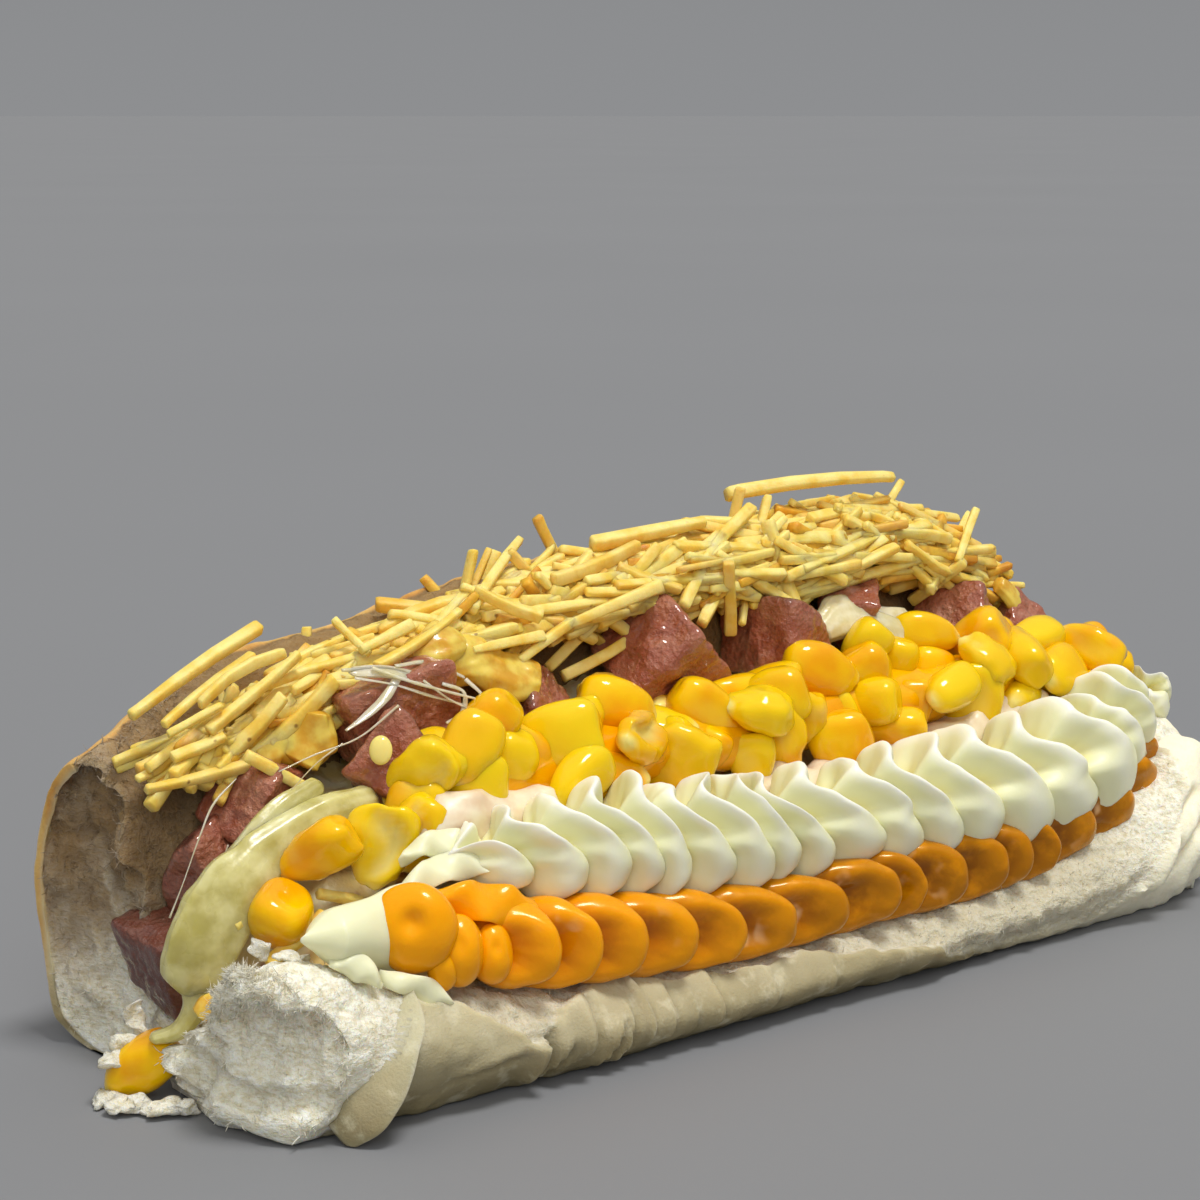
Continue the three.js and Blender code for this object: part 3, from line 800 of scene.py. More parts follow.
# How each row is piped. Round the row, by degrees up from its front: how far ahead each turn's lip
# stands, how round the row is, how deep its folds are, how much of a foot, a crest and a loop they have,
# and how rough they are. Along the row, by x: how much it leans, how deep its folds are, how long its
# turns are, and how far it reaches from its middle.
WHITE_ROW = {
    "lead": along(
        (-180, 0), (-80, 0.8), (-66, 1.5), (-50, 2.2), (-34, 2.6), (-20, 2.6), (-8, 2.2), (2, 1.4),
        (12, 0.4), (22, -0.9), (32, -2.6), (42, -4.0), (52, -4.5), (62, -3.9), (74, -2.5), (88, -1.6),
        (110, -1.6), (180, 0),
    ),
    "roundness": along(
        (-180, 0.85), (-95, 0.84), (-76, 0.93), (-64, 1.08), (-54, 1.12), (-44, 1.09), (-32, 1.03),
        (-18, 1.01), (0, 1.01), (25, 1.0), (40, 0.98), (55, 1.0), (70, 1.03), (85, 1.0), (102, 0.93),
        (140, 0.95), (180, 0.85),
    ),
    "depth": along(
        (-180, 1.5), (-90, 3.6), (-66, 4.4), (-50, 4.2), (-34, 3.2), (-18, 2.6), (0, 2.5), (18, 3.0),
        (34, 3.9), (50, 4.4), (70, 4.3), (90, 3.9), (140, 2.4), (180, 1.5),
    ),
    "foot": along((-180, 1), (-52, 1), (-28, 0), (180, 0), level=True),
    "crest": along((-180, 0), (2, 0), (32, 1), (100, 1), (140, 0.3), (180, 0), level=True),
    "loop": along((-180, 0), (40, 0), (66, 1), (120, 1), (150, 0), (180, 0), level=True),
    "rough": along((-180, 0.5), (-50, 0.5), (-10, 0.7), (30, 1.1), (70, 1.8), (180, 1), level=True),
    "lean": along((-62, 0.5), (-50, 0.85), (-32, 1.0), (40, 1.05), (54, 0.9), (64, 0.55), (76, 0.4)),
    "deep": along((-60, 0.7), (-45, 1), (50, 1.05), (64, 0.75), (90, 0.6), level=True),
    "length": along(
        (-60, 5.6), (-46, 6.4), (-10, 7.2), (20, 7.8), (48, 8.4), (58, 7), (64, 5), (70, 4.2), (76, 3.8),
    ),
    "reach": along(
        (-60, 3.4), (-50, 5.8), (-42, 6.8), (-15, 7.4), (20, 8.0), (50, 8.9), (64, 8.2), (72, 6.6),
        (78, 5.4), (88, 4),
    ),
}
CHEDDAR_ROW = {
    "lead": along(
        (-180, -3), (-120, -3), (-90, -2.2), (-68, -0.7), (-45, 0.7), (-22, 1.5), (0, 1.6), (22, 1.2),
        (45, 0.2), (68, -1.2), (90, -2.4), (180, -3),
    ),
    "roundness": along((-180, 1), (-60, 1.03), (0, 1), (30, 1.0), (60, 0.95), (90, 0.88), (180, 0.9)),
    "depth": along((-180, 1.6), (-60, 2.3), (-20, 2.8), (20, 2.6), (70, 2.0), (180, 1.6)),
    "foot": along((-180, 0), (180, 0), level=True),
    "crest": along((-180, 0.1), (-60, 0.2), (-30, 0.9), (22, 0.95), (55, 0.3), (180, 0.1), level=True),
    "loop": along((-180, 0), (180, 0), level=True),
    "rough": along((-180, 0.4), (180, 0.4), level=True),
    "lean": along((-61, 0.7), (-40, 1.0), (76, 1.0)),
    "deep": along((-61, 1), (76, 0.8), level=True),
    "length": along((-61, 6.6), (-30, 7.2), (20, 8.2), (50, 7.6), (76, 5.5)),
    "reach": along((-61, 5.0), (-52, 5.5), (-10, 5.0), (40, 5.2), (60, 4.6), (76, 3.8)),
}


def ruffle(path, row, seed, wild=1.0, around=124, steps=34):
    """A row of cream piped to and fro. Turn by turn, from valley to valley, its surface goes ahead and
    outwards as the turn's profile says, and each angle round the row leads or lags by the row's lead. So
    the lips climb the front, fall back, and hook ahead again over the crest. Also returns how far out
    each point is."""
    random = np.random.default_rng(seed)
    cuts = [1.0]
    while cuts[-1] < path.length - 2:
        length = row["length"](path.at(cuts[-1])[0])
        cuts.append(cuts[-1] + length * random.uniform(1 - 0.2 * wild, 1 + 0.22 * wild))
    cuts = np.array(cuts)
    turns = len(cuts) - 1
    t = np.arange(steps) / steps
    degrees = np.interp(np.arange(around) / around, (0, 0.14, 0.86, 1), (-180, -78, 114, 180))
    drift = np.arange(len(BELLY))[:, None] / len(BELLY) * np.array([1.0, 0.0])
    foot, crest, loop = (row[part](degrees)[:, None, None] for part in ("foot", "crest", "loop"))
    shape = BELLY + (FOOT - BELLY) * foot + (CREST - BELLY) * crest
    shape = shape + (LOOP - shape) * loop - drift
    shape = through(shape, t * len(BELLY)).transpose(1, 0, 2)
    lengths = np.diff(cuts)[:, None, None]
    ahead = (cuts[:-1, None, None] + (shape[..., 0] + t[:, None]) * lengths).reshape(-1, around)
    out = np.tile(shape[..., 1], (turns, 1))
    phase = (np.arange(turns)[:, None] + t).ravel()[:, None] + 0 * ahead
    turn = np.radians(degrees)
    spots = np.stack([phase * 6, 7 * np.cos(turn) + 0 * ahead, 7 * np.sin(turn) + 0 * ahead], axis=-1)

    def own(spread):
        values = 1 + spread * wild * random.uniform(-1, 1, turns + 1)
        return np.interp(phase, np.arange(turns + 1) + 0.5, values)

    lead = row["lead"](degrees) * row["lean"](path.at(ahead)[..., 0]) * own(0.18)
    lead += layers(spots, (0.9, 6, seed), (0.6, 3, seed + 1)) * own(0.45) * row["rough"](degrees)
    place = ahead + lead
    centre = path.at(place)
    fold = row["depth"](degrees) * own(0.16) * (1 + 0.2 * noise(spots, 5, seed + 2))
    fold *= row["deep"](centre[..., 0])
    ends = ramp(np.minimum(place, path.length - place), -2, 5) ** 0.5
    swell = own(0.05) * (1 + 0.08 * noise(spots, 5.5, seed + 3) * row["rough"](degrees))
    round_reach = row["reach"](centre[..., 0]) * row["roundness"](degrees) * swell
    reach = ends * (round_reach + fold * (out - 0.35))
    _, side, up = path.frame(place)
    out_way = np.sin(turn)[:, None] * up - np.cos(turn)[:, None] * side
    rings = centre + out_way * np.maximum(reach, 0.4)[..., None]
    rings += 0.10 * wobble(rings, 2.4, seed + 5)
    return tube(rings), spread(np.clip(0.55 + 0.45 * out, 0, 1)[None])


def lick(points, widths, thickness, tilt, seed, wave=0.0, steps=70, sides=44):
    """A flat lick of cream along a path: lens-shaped across, sharp at both edges, as wide as widths says
    along its share of length, its edges waving up and down."""
    path = Path(points)
    share = np.linspace(0, 1, steps)
    middle = path.at(share * path.length)
    ahead = unit(np.gradient(middle, axis=0))
    side = unit(np.cross(np.array(tilt, float), ahead))
    up = np.cross(ahead, side)
    angle = full_turn(sides)
    wide = along(*widths)(share)[:, None] / 2
    shut = ramp(np.minimum(share, 1 - share), -0.005, 0.12)[:, None] ** 0.5
    across = np.cos(angle) * wide * (1 + 0.10 * np.sin(9 * share[:, None] + seed))
    high = np.sin(angle) * np.abs(np.sin(angle)) ** 0.35 * thickness / 2 * shut
    high = high * np.minimum(1, wide / (0.4 * thickness))
    ripple = wave * np.sin(14 * share + seed)[:, None] * np.cos(angle)
    rings = middle[:, None] + side[:, None] * across[..., None] + up[:, None] * (high + ripple)[..., None]
    return tube(rings + 0.25 * wobble(rings, 3.5, seed))


def blob(at, facing, radii, dimple, seed):
    """A round drop of cream with its face towards facing, dimpled a little above its middle."""
    facing = unit(np.array(facing, float))
    level = unit(np.cross([0, 0, 1], facing))
    axes = np.stack([level, np.cross(facing, level), facing])
    way = ball(40, 60)
    local = way * np.array(radii)
    a, b = local[..., 0] / radii[0], local[..., 1] / radii[1]
    local[..., 2] -= np.where(way[..., 2] > 0, dimple * np.exp(-((a**2 + (b - 0.25) ** 2) / 0.07)), 0)
    spots = local @ axes + np.array(at)
    return tube(spots + (way @ axes) * (0.3 * noise(spots, 4, seed))[..., None])


def make_cream_pieces():
    """What is not part of a row: the first lick and the end peak of white cream, the first drops of
    cheddar, and the pinkish cream behind."""
    front = (-0.35, -0.92, 0.1)
    white = [
        lick([(-84.5, -21.5, 24.4), (-80, -21, 23.6), (-75, -20.6, 22.8), (-69, -20, 22),
              (-63, -19.5, 21)],
             ((0, 0.4), (0.1, 3), (0.28, 8), (0.55, 10.4), (1, 10.4)), 7.5, front, 1),
        lick([(-75.5, -24, 18.6), (-71, -26, 16.6), (-65.5, -26.8, 13.2)],
             ((0, 1.5), (0.5, 3.4), (1, 0.5)), 1.4, front, 2, 0.5),
        lick([(-81, -22.5, 21), (-77.5, -24.8, 19.6), (-75.5, -25.6, 17.6)],
             ((0, 1), (0.5, 3), (1, 0.5)), 1.8, front, 4, 0.3),
        lick([(-69.5, -19, 26.2), (-65, -18.8, 27.6), (-61, -18.3, 28), (-56, -19.5, 28.6)],
             ((0, 0.6), (0.35, 3.0), (0.7, 4.2), (1, 4)), 1.7, (-0.3, -0.7, 0.65), 3, 0.7),
        lick([(-66, -15.5, 29), (-62, -15.5, 30.6), (-57, -16, 30.4)],
             ((0, 0.8), (0.5, 3.4), (1, 3)), 1.6, (-0.3, -0.7, 0.6), 7, 0.6),
    ]
    # The licks take one mid tone of the cream's painted shade between valley and lip.
    piece("cream_tail_lick", joined(white), CREAM, "white_cream", ["cream_tail"], far=even(white, 0.62))
    path = Path([(77, -6, 20), (81, -6.5, 24), (85.5, -6.5, 28), (90, -6, 31)])
    peak, far = ruffle(path, WHITE_ROW, seed=3, wild=1.4)
    piece("cream_end_peak", peak, CREAM, "white_cream", ["cream_dollop"], far=far)
    drops = [
        blob((-69.3, -23.2, 23), (-0.61, -0.77, 0.1), (5.4, 5.6, 3.6), 1.3, 1),
        blob((-63.6, -24.6, 19.6), (-0.5, -0.85, 0.1), (3.2, 4.7, 3.2), 0.5, 2),
        blob((-66.6, -25.2, 17.6), (-0.5, -0.85, 0.1), (2.0, 2.8, 2.0), 0.0, 3),
        blob((-58.8, -25, 18.2), (-0.3, -0.9, 0.2), (2.6, 3.8, 2.6), 0.4, 4),
        lick([(-64, -21, 26), (-60, -22.5, 24.8), (-55, -23.5, 23.2), (-50, -23, 22)],
             ((0, 2), (0.4, 5.5), (0.8, 5), (1, 2)), 2.4, (-0.2, -0.8, 0.6), 5, 0.9),
    ]
    # The drops take the near-lip tone of the cheddar's painted shade.
    piece("cheddar_drops", joined(drops), CHEDDAR, "cheddar_cream", far=even(drops, 0.95))
    path = Path([
        (-61, -12, 28.5), (-55, -11.5, 31.4), (-47, -10.8, 30.8), (-30, -10, 27), (0, -10, 25.5),
        (30, -9, 26), (48, -7.5, 29.5), (62, -7, 31),
    ])
    points, quads, triangles = rope(path, 3.6, steps=160, sides=26)
    points = points + 0.9 * wobble(points, 4) + 0.5 * wobble(points, 1.8, 3)
    piece("pink_cream", (points, quads, triangles), PINK_CREAM, "white_cream")


def make_creams():
    """The two piped rows."""
    body, far = ruffle(CREAM_PATH, WHITE_ROW, seed=5, wild=1.35)
    piece("cream_swirls", body, CREAM, "white_cream", ["cream_rope"], far=far)
    body, far = ruffle(CHEDDAR_PATH, CHEDDAR_ROW, seed=9, wild=1.5)
    piece("cheddar_swirls", body, CHEDDAR, "cheddar_cream", ["cheddar_rope"], far=far)


def cream_paint(place):
    """Painted shade and light: yellowish in the valleys, where the folds lie in shade, and white on the
    lips.
    """
    out = place.shade("far")
    # Painted shade: the valleys yellowish, the lips near white, by how far out each point is.
    tone = out.step(0.1, 0.62).blend(colour(230, 218, 140), colour(234, 233, 192))
    tone = out.step(0.72, 0.92).blend(tone, colour(245, 244, 226))
    return {
        "Base Color": tone,
        "Roughness": place.grain(5, 2) * 0.12 + 0.34,
        "height": (0.12, 0.3, place.grain(1.2, 2)),
    }


def cheddar_paint(place):
    """Bright orange at the open end and browner past it, partly its own colour and partly painted shade
    under the white row; darker in the valleys as painted shade, and streaked with white there.
    """
    deep = place.shade("far").step(0.1, 0.9)
    x = place.axis(0)
    # Painted shade: both tones run from a darker valley colour to a brighter lip colour.
    bright = deep.blend(colour(206, 112, 0), colour(250, 168, 2))
    brown = deep.blend(colour(128, 70, 0), colour(186, 120, 2))
    # Browner past the open end: partly the cheddar's own colour, partly painted shade under the white
    # row.
    tone = (x + place.grain(12, 2) * 0.03).step(-0.05, 0.04).blend(bright, brown)
    mottled = (place.grain(2.5, 3).step(0.45, 0.7) * 0.3).blend(tone, colour(246, 164, 14))
    streak = (1 - deep) * place.grain(5, 2).step(0.6, 0.7)
    mottled = (streak * 0.75).blend(mottled, colour(244, 206, 168))
    return {
        "Base Color": mottled,
        "Roughness": place.grain(6, 2) * 0.2 + 0.18,
        "height": (0.2, 0.3, place.grain(1.0, 2)),
    }


def pink_paint(place):
    """Two pinkish whites in soft patches."""
    tones = colour(236, 222, 194), colour(226, 200, 168)
    return {"Base Color": place.grain(3, 3).step(0.35, 0.7).blend(*tones)}


CREAM = finish(
    "white_cream", cream_paint, Subsurface_Weight=0.35, Subsurface_Scale=0.0025,
    Subsurface_Radius=(1.0, 0.9, 0.5),
    Specular_IOR_Level=0.4,
)
CHEDDAR = finish(
    "cheddar_cream", cheddar_paint, Subsurface_Weight=0.25, Subsurface_Scale=0.002,
    Subsurface_Radius=(1.0, 0.45, 0.08),
    Specular_IOR_Level=0.3, Specular_Tint=(1.0, 0.75, 0.3, 1.0), Coat_Weight=0.4, Coat_Roughness=0.1,
    Coat_Tint=(1.0, 0.9, 0.5, 1.0),
)

PINK_CREAM = finish(
    "pinkish_cream", pink_paint,
    Roughness=0.35, Subsurface_Weight=0.3, Subsurface_Scale=0.0025, Subsurface_Radius=(1.0, 0.8, 0.5),
)

make_creams()

# ------------------------------------------------------------------ sausage

# Where each chunk lies, its turn about X, then Y, then Z, its length, and its sausage's wedge and radius.
CHUNKS = (
    ((-83, 9, 14.5), (0.1, 1.3, 0.2), 12, 1.7, 11.5), ((-73.5, 6.5, 34), (0.3, 0.4, 0.5), 11.5, 1.5, 9.8),
    ((-79.5, 8, 26), (1.2, 0.3, 1.9), 10.5, 1.5, 10), ((-53, 5, 43.5), (0.2, 1.3, 0.1), 16, 1.5, 13),
    ((-56.5, -1, 37), (1.1, 0.5, -0.9), 12, 1.5, 11.5), ((-30, 4.5, 39.5), (0.8, 0.5, 2.2), 10, 1.5, 10),
    ((-6, 4.5, 43), (0.5, 0.7, 0.2), 14, 1.8, 12), ((17, 6, 43), (1.5, 0.2, 0.1), 14, 1.7, 12),
    ((33, 8.5, 47), (0.4, 1.1, 1.4), 11, 1.5, 10), ((54, 5.5, 41.5), (1.3, 0.6, 0.3), 12, 1.5, 10),
    ((69, 7, 37.5), (0.9, 0.4, -0.4), 11, 1.5, 10),
)


def turn_matrix(rx, ry, rz):
    """The rotation by rx about X, then ry about Y, then rz about Z."""
    (cx, cy, cz), (sx, sy, sz) = np.cos([rx, ry, rz]), np.sin([rx, ry, rz])
    about_x = np.array([[1, 0, 0], [0, cx, -sx], [0, sx, cx]])
    about_y = np.array([[cy, 0, sy], [0, 1, 0], [-sy, 0, cy]])
    about_z = np.array([[cz, -sz, 0], [sz, cz, 0], [0, 0, 1]])
    return about_z @ about_y @ about_x


def chunk(at, turn, length, wedge, radius, seed):
    """A piece of a sausage's round: in each direction, as far as the soft minimum of its cut planes and
    its skin allow, then dented and grained. Returns its body and how much of each point is skin."""
    along_bisector = 0.62 * radius
    half = wedge / 2
    bisector = np.array([math.cos(half), math.sin(half), 0])
    cuts = [((0, -1, 0), along_bisector * math.sin(half)),
            ((-math.sin(wedge), math.cos(wedge), 0), along_bisector * math.sin(half)),
            ((0.06, 0, 1), length / 2), ((0, 0.06, -1), length / 2)]
    for share in (-0.9, -0.45, 0, 0.45, 0.9):
        angle = half + share * half
        to_skin = radius - along_bisector * math.cos(share * half)
        cuts.append(((math.cos(angle), math.sin(angle), 0), to_skin))
    normals = unit(np.array([cut[0] for cut in cuts], float))
    distances = np.array([cut[1] for cut in cuts])
    way = ball(72, 110)
    nearness = np.maximum(0, way @ normals.T) / distances
    reach = (nearness**13).sum(axis=-1) ** (-1 / 13)
    middle = bisector * along_bisector - np.array([0.42 * radius, 0.42 * radius, 0])
    skin = nearness[..., 4:].max(axis=-1) - nearness[..., :4].max(axis=-1)
    skin = 0.35 * ramp(skin, -0.5, -0.05) + 0.65 * ramp(skin, -0.05, 0.06)
    matrix = turn_matrix(*turn)
    spots = (way * reach[..., None] + middle) @ matrix.T
    lumps = spots + 37.0 * seed
    grain = layers(lumps, (0.90, 5, 1), (0.45, 2.4, 2), (0.20, 1.2, 3), (0.12, 0.6, 4)) * (1 - 0.5 * skin)
    spots = spots + (way @ matrix.T) * grain[..., None]
    return tube(spots + np.array(at)), spread(skin[None])


def sausage_paint(place):
    """Pinkish meat, mottled and flecked with fat, under a dark browned skin."""
    skin = place.shade("skin")
    mottle = place.grain(3.6, 4, 0.6)
    meat = mottle.step(0.35, 0.66).blend(colour(148, 88, 70), colour(212, 160, 128))
    meat = (place.grain(7, 2).step(0.48, 0.68) * 0.7).blend(meat, colour(142, 66, 42))
    specks = place.grain(0.9, 2, 0.6).step(0.6, 0.74)
    meat = (specks * 0.55).blend(meat, colour(226, 182, 164))
    meat = (skin.step(0.05, 0.35) * 0.7).blend(meat, colour(158, 78, 48))
    dark = place.grain(1.6, 3).step(0.3, 0.7).blend(colour(58, 26, 20), colour(102, 46, 34))
    rough = place.grain(0.8, 3) * 0.5 + 0.12
    relief = place.grain(0.5, 3, 0.7) * 1.3 + place.cells(0.8) * 0.9 + place.grain(1.8, 3, 0.6) * 1.2
    tone = skin.step(0.4, 0.9).blend(meat, dark)
    # Painted shade: chunks low in the open end, inside the bread, darken towards a deep brown.
    x, z = place.axis(0), place.axis(2)
    in_shade = (1 - z.step(0.012, 0.036)) * (1 - x.step(-0.074, -0.06)) * 0.8
    tone = in_shade.blend(tone, colour(78, 40, 32))
    return {"Base Color": tone, "Roughness": rough, "height": (0.75, 0.45, relief)}


SAUSAGE = finish(
    "sausage", sausage_paint, Subsurface_Weight=0.15, Subsurface_Scale=0.002,
    Subsurface_Radius=(1.0, 0.3, 0.2),
    Specular_IOR_Level=0.5, Coat_Weight=0.9, Coat_Roughness=0.06,
)


def make_sausage():
    """The chunks, one piece each."""
    for number, row in enumerate(CHUNKS, 1):
        body, skin = chunk(*row, seed=number)
        piece(f"sausage_cut_{number}", body, SAUSAGE, "sausage", [f"sausage_chunk_{number}"], skin=skin)


make_sausage()
make_cream_pieces()
make_peel()

# ------------------------------------------------------------------ sweetcorn

# The frame in which kernels are turned: across, up and outwards, as one faces the open front corner.
ACROSS = np.array([0.781, -0.624, 0.0])
UPWARD = np.array([0.114, 0.142, 0.983])
OUTWARD = np.array([-0.614, -0.768, 0.182])

# Kernels that stand out: x, y, z, the crown's lean from across, its tilt outwards and roll in degrees,
# length, width and thickness, and how far the kernel has burst.
KERNELS = (
    (-45, -4, 41, 40, 10, 15, 12, 8.5, 6.5, 0), (-57, -7, 37, 40, 15, 0, 12.5, 9, 6, 0.7),
    (-50, -9, 33.5, 82, 5, 10, 13.5, 10, 5.5, 0.2), (-43.5, -7, 36, 62, 10, 30, 11, 8.5, 6, 0),
    (-34, -6.5, 38.5, 5, 0, -5, 13, 12, 6.5, 0.15), (-40, -5, 36, 60, 0, 20, 11, 9, 6, 0.5),
    (-21, -3, 40.5, 165, 10, 15, 12, 9, 6.5, 0), (-27.5, -8.5, 32.5, 178, 5, 25, 12.5, 8, 6.5, 0),
    (-14.5, -4, 37, 178, 0, 60, 12, 8, 4, 0.3), (-18.5, -6, 34.3, 20, 60, 0, 6, 5.5, 4.5, 1),
    (-13.5, -7.5, 32, 70, 15, 0, 12, 12, 6, 0.8), (-5, -4, 37.5, 146, 15, 10, 13, 8.5, 7, 0.1),
    (-7, -6, 32.5, 60, 10, 0, 8, 7, 5.5, 0.5), (-0.5, -8, 31, 95, 10, 0, 8.5, 8, 6, 0.2),
    (6, -5, 38, 20, 10, 0, 11.5, 10, 7, 0), (5, -8, 33, 110, 20, 0, 10, 8, 4, 1),
    (11, -6.5, 35, 80, 10, 0, 8, 7, 5.5, 0.9), (17, -3, 40.3, 170, 12, 10, 12.5, 9.5, 8, 0),
    (28, -1, 42.3, 50, 5, 20, 9, 7.5, 6, 0), (34, -2, 39, 75, 10, 0, 8.5, 7, 6, 0),
    (26, -4, 39.2, 120, 10, 0, 9, 8.5, 6.5, 0), (24.3, -6.5, 35.4, 5, 20, 0, 9.5, 8, 6.5, 0),
    (15.5, -9.5, 30.5, 100, 8, 5, 11, 11, 6.5, 0), (27.5, -8, 31, 4, 5, 35, 11, 7.5, 5.5, 0.1),
    (18.5, -4, 34, 30, 0, 0, 8, 8, 6, 0), (33.5, -6, 33, 85, 10, 0, 9, 7, 6, 0.2),
    (43, 1, 42.2, 172, 5, 10, 11, 7, 6, 0.3), (42, -2, 37.5, 170, 10, 0, 9, 7, 6, 0),
    (51.5, -2.5, 40, 30, 25, 0, 11, 11, 8, 0.4), (44.5, -7.5, 33, 95, 10, 0, 13, 11.5, 7, 0.25),
    (66, 1, 37, 0, 0, 0, 9, 7, 6, 0.5), (64.5, -3, 33.5, 150, 20, 0, 11, 10, 7, 0.4),
    (77, -1.5, 36.5, 30, 0, 0, 8, 6.5, 5.5, 0), (77.5, -4, 33.2, 0, 0, 50, 12, 8, 5.5, 0),
    (-74, -9.5, 30.6, 28, 5, 20, 11.5, 8, 6, 0.6), (-65.5, -10.5, 30, 80, 0, 10, 11, 10, 4.5, 1),
    (-60, -10.5, 30.5, 60, 0, 0, 11, 8, 5, 0.7), (-80.5, -10, 23.3, 60, 30, 0, 8.6, 8.6, 8.4, 0),
    (-94, 1, 4.2, 35, 0, 20, 10.5, 7.5, 6.5, 0), (-58.5, -8, 32, 70, 0, 0, 10, 9, 5, 0.8),
    (-53, -3, 38, 20, 0, 40, 9, 8, 6, 0.3),
)

# The heap's oval, how far apart its kernels' centres are, how often a place is tried for one, and the
# kernels' smallest and largest length, width and thickness.
CORN_ACROSS, CORN_UPRIGHT = 8.8, 8
KERNELS_APART, KERNEL_TRIES = 6.3, 6000
KERNEL_SIZES = ((9.5, 7.5, 5.5), (12, 9.5, 7))

corn_y = along((-57, -6), (-30, -4.5), (0, -3.5), (30, -3.5), (55, -3), (79, -2))
corn_z = along((-57, 35), (-30, 34.5), (0, 34), (30, 34.5), (55, 35), (79, 33))


def axes_of(lean, tilt, roll):
    """A kernel's length, width and thickness directions from its lean, tilt and roll in degrees."""
    lean, tilt, roll = np.radians([lean, tilt, roll])
    flat = math.cos(lean) * ACROSS + math.sin(lean) * UPWARD
    length = math.cos(tilt) * flat + math.sin(tilt) * OUTWARD
    width = -math.sin(lean) * ACROSS + math.cos(lean) * UPWARD
    width = math.cos(roll) * width + math.sin(roll) * np.cross(length, width)
    return np.stack([length, width, np.cross(length, width)])


def kernel(at, axes, size, burst, seed):
    """A kernel: a rounded block that narrows to a small pale root, its crown a little dented, its faces
    puckered; a burst one is split by a deep furrow along one face, and flattened and crumpled."""
    random = np.random.default_rng(seed)
    polar = np.linspace(0, np.pi, 21)[1:-1, None]
    turn = full_turn(28)[None]
    towards_crown = -np.cos(polar)
    narrow = 1 - 0.34 * ((1 - towards_crown) / 2) ** 1.4
    narrow -= 0.25 * np.exp(-(((towards_crown + 1) / 0.16) ** 2))
    girth = np.sin(polar) ** 0.66 * narrow
    half_length, half_width, half_thick = np.array(size) / 2
    furrow_at = random.uniform(-0.5, 0.5) + (np.pi / 2 if random.random() < 0.5 else -np.pi / 2)
    off = (turn - furrow_at + np.pi) % (2 * np.pi) - np.pi
    furrow = np.exp(-((off + 0.25 * np.sin(3 * polar)) / 0.34) ** 2) * np.sin(polar) ** 1.5
    wide, thick = (np.sign(wave) * np.abs(wave) ** 0.76 for wave in (np.cos(turn), np.sin(turn)))
    wide = wide * girth * half_width
    thick = thick * girth * half_thick * (1.08 + 0.12 * towards_crown)
    off_middle = (wide / half_width) ** 2 + (thick / half_thick) ** 2
    dent = np.exp(-off_middle * 5) * ramp(towards_crown, 0.3, 1)
    long = towards_crown * half_length - 0.55 * dent + 0 * turn
    thick = thick * (1 - 0.8 * burst * furrow) + 0.35 * random.uniform(-1, 1) * (long / half_length) ** 2
    local = np.stack([long, wide, thick], axis=-1)
    shake = local + random.uniform(0, 500, 3)
    outwards = unit(local)
    pucker = layers(shake, (0.36, 4.5, 0), (0.08 + 0.5 * burst, 2.1, 2), (0.16 * burst, 0.9, 3))
    local = local + outwards * pucker[..., None]
    root = ramp(-towards_crown + 0.1 * noise(shake, 2.5, 4), 0.78, 1.0)
    pale = np.maximum(root, 0.9 * burst * ramp(furrow, 0.25, 0.9))
    pale = np.maximum(pale, burst * 0.35 * ramp(noise(shake, 3.2, 6), 0.3, 0.8))
    return local @ axes + np.array(at), pale


def heap_heart(start, end, middle, sizes, sunk, fade, rough, counts):
    """What lies inside a heap from start to end: a lumpy oval round its middle line (y and z by x), its
    half sizes across and upright, sunk by a little, which shrinks over a fade at both ends."""
    x = np.linspace(start, end, counts[0])[:, None]
    turn = full_turn(counts[1])[None]
    shrunk = ramp(np.minimum(x - start, end - x), -1, fade) ** 0.5
    y = middle[0](x) + sizes[0] * shrunk * np.cos(turn)
    z = middle[1](x) + sunk + sizes[1] * shrunk * np.sin(turn)
    rings = np.stack([x + 0 * turn, y, z], axis=-1)
    outwards = unit(rings - rings.mean(axis=1, keepdims=True))
    return tube(rings + rough[0] * noise(rings, rough[1], 8)[..., None] * outwards)


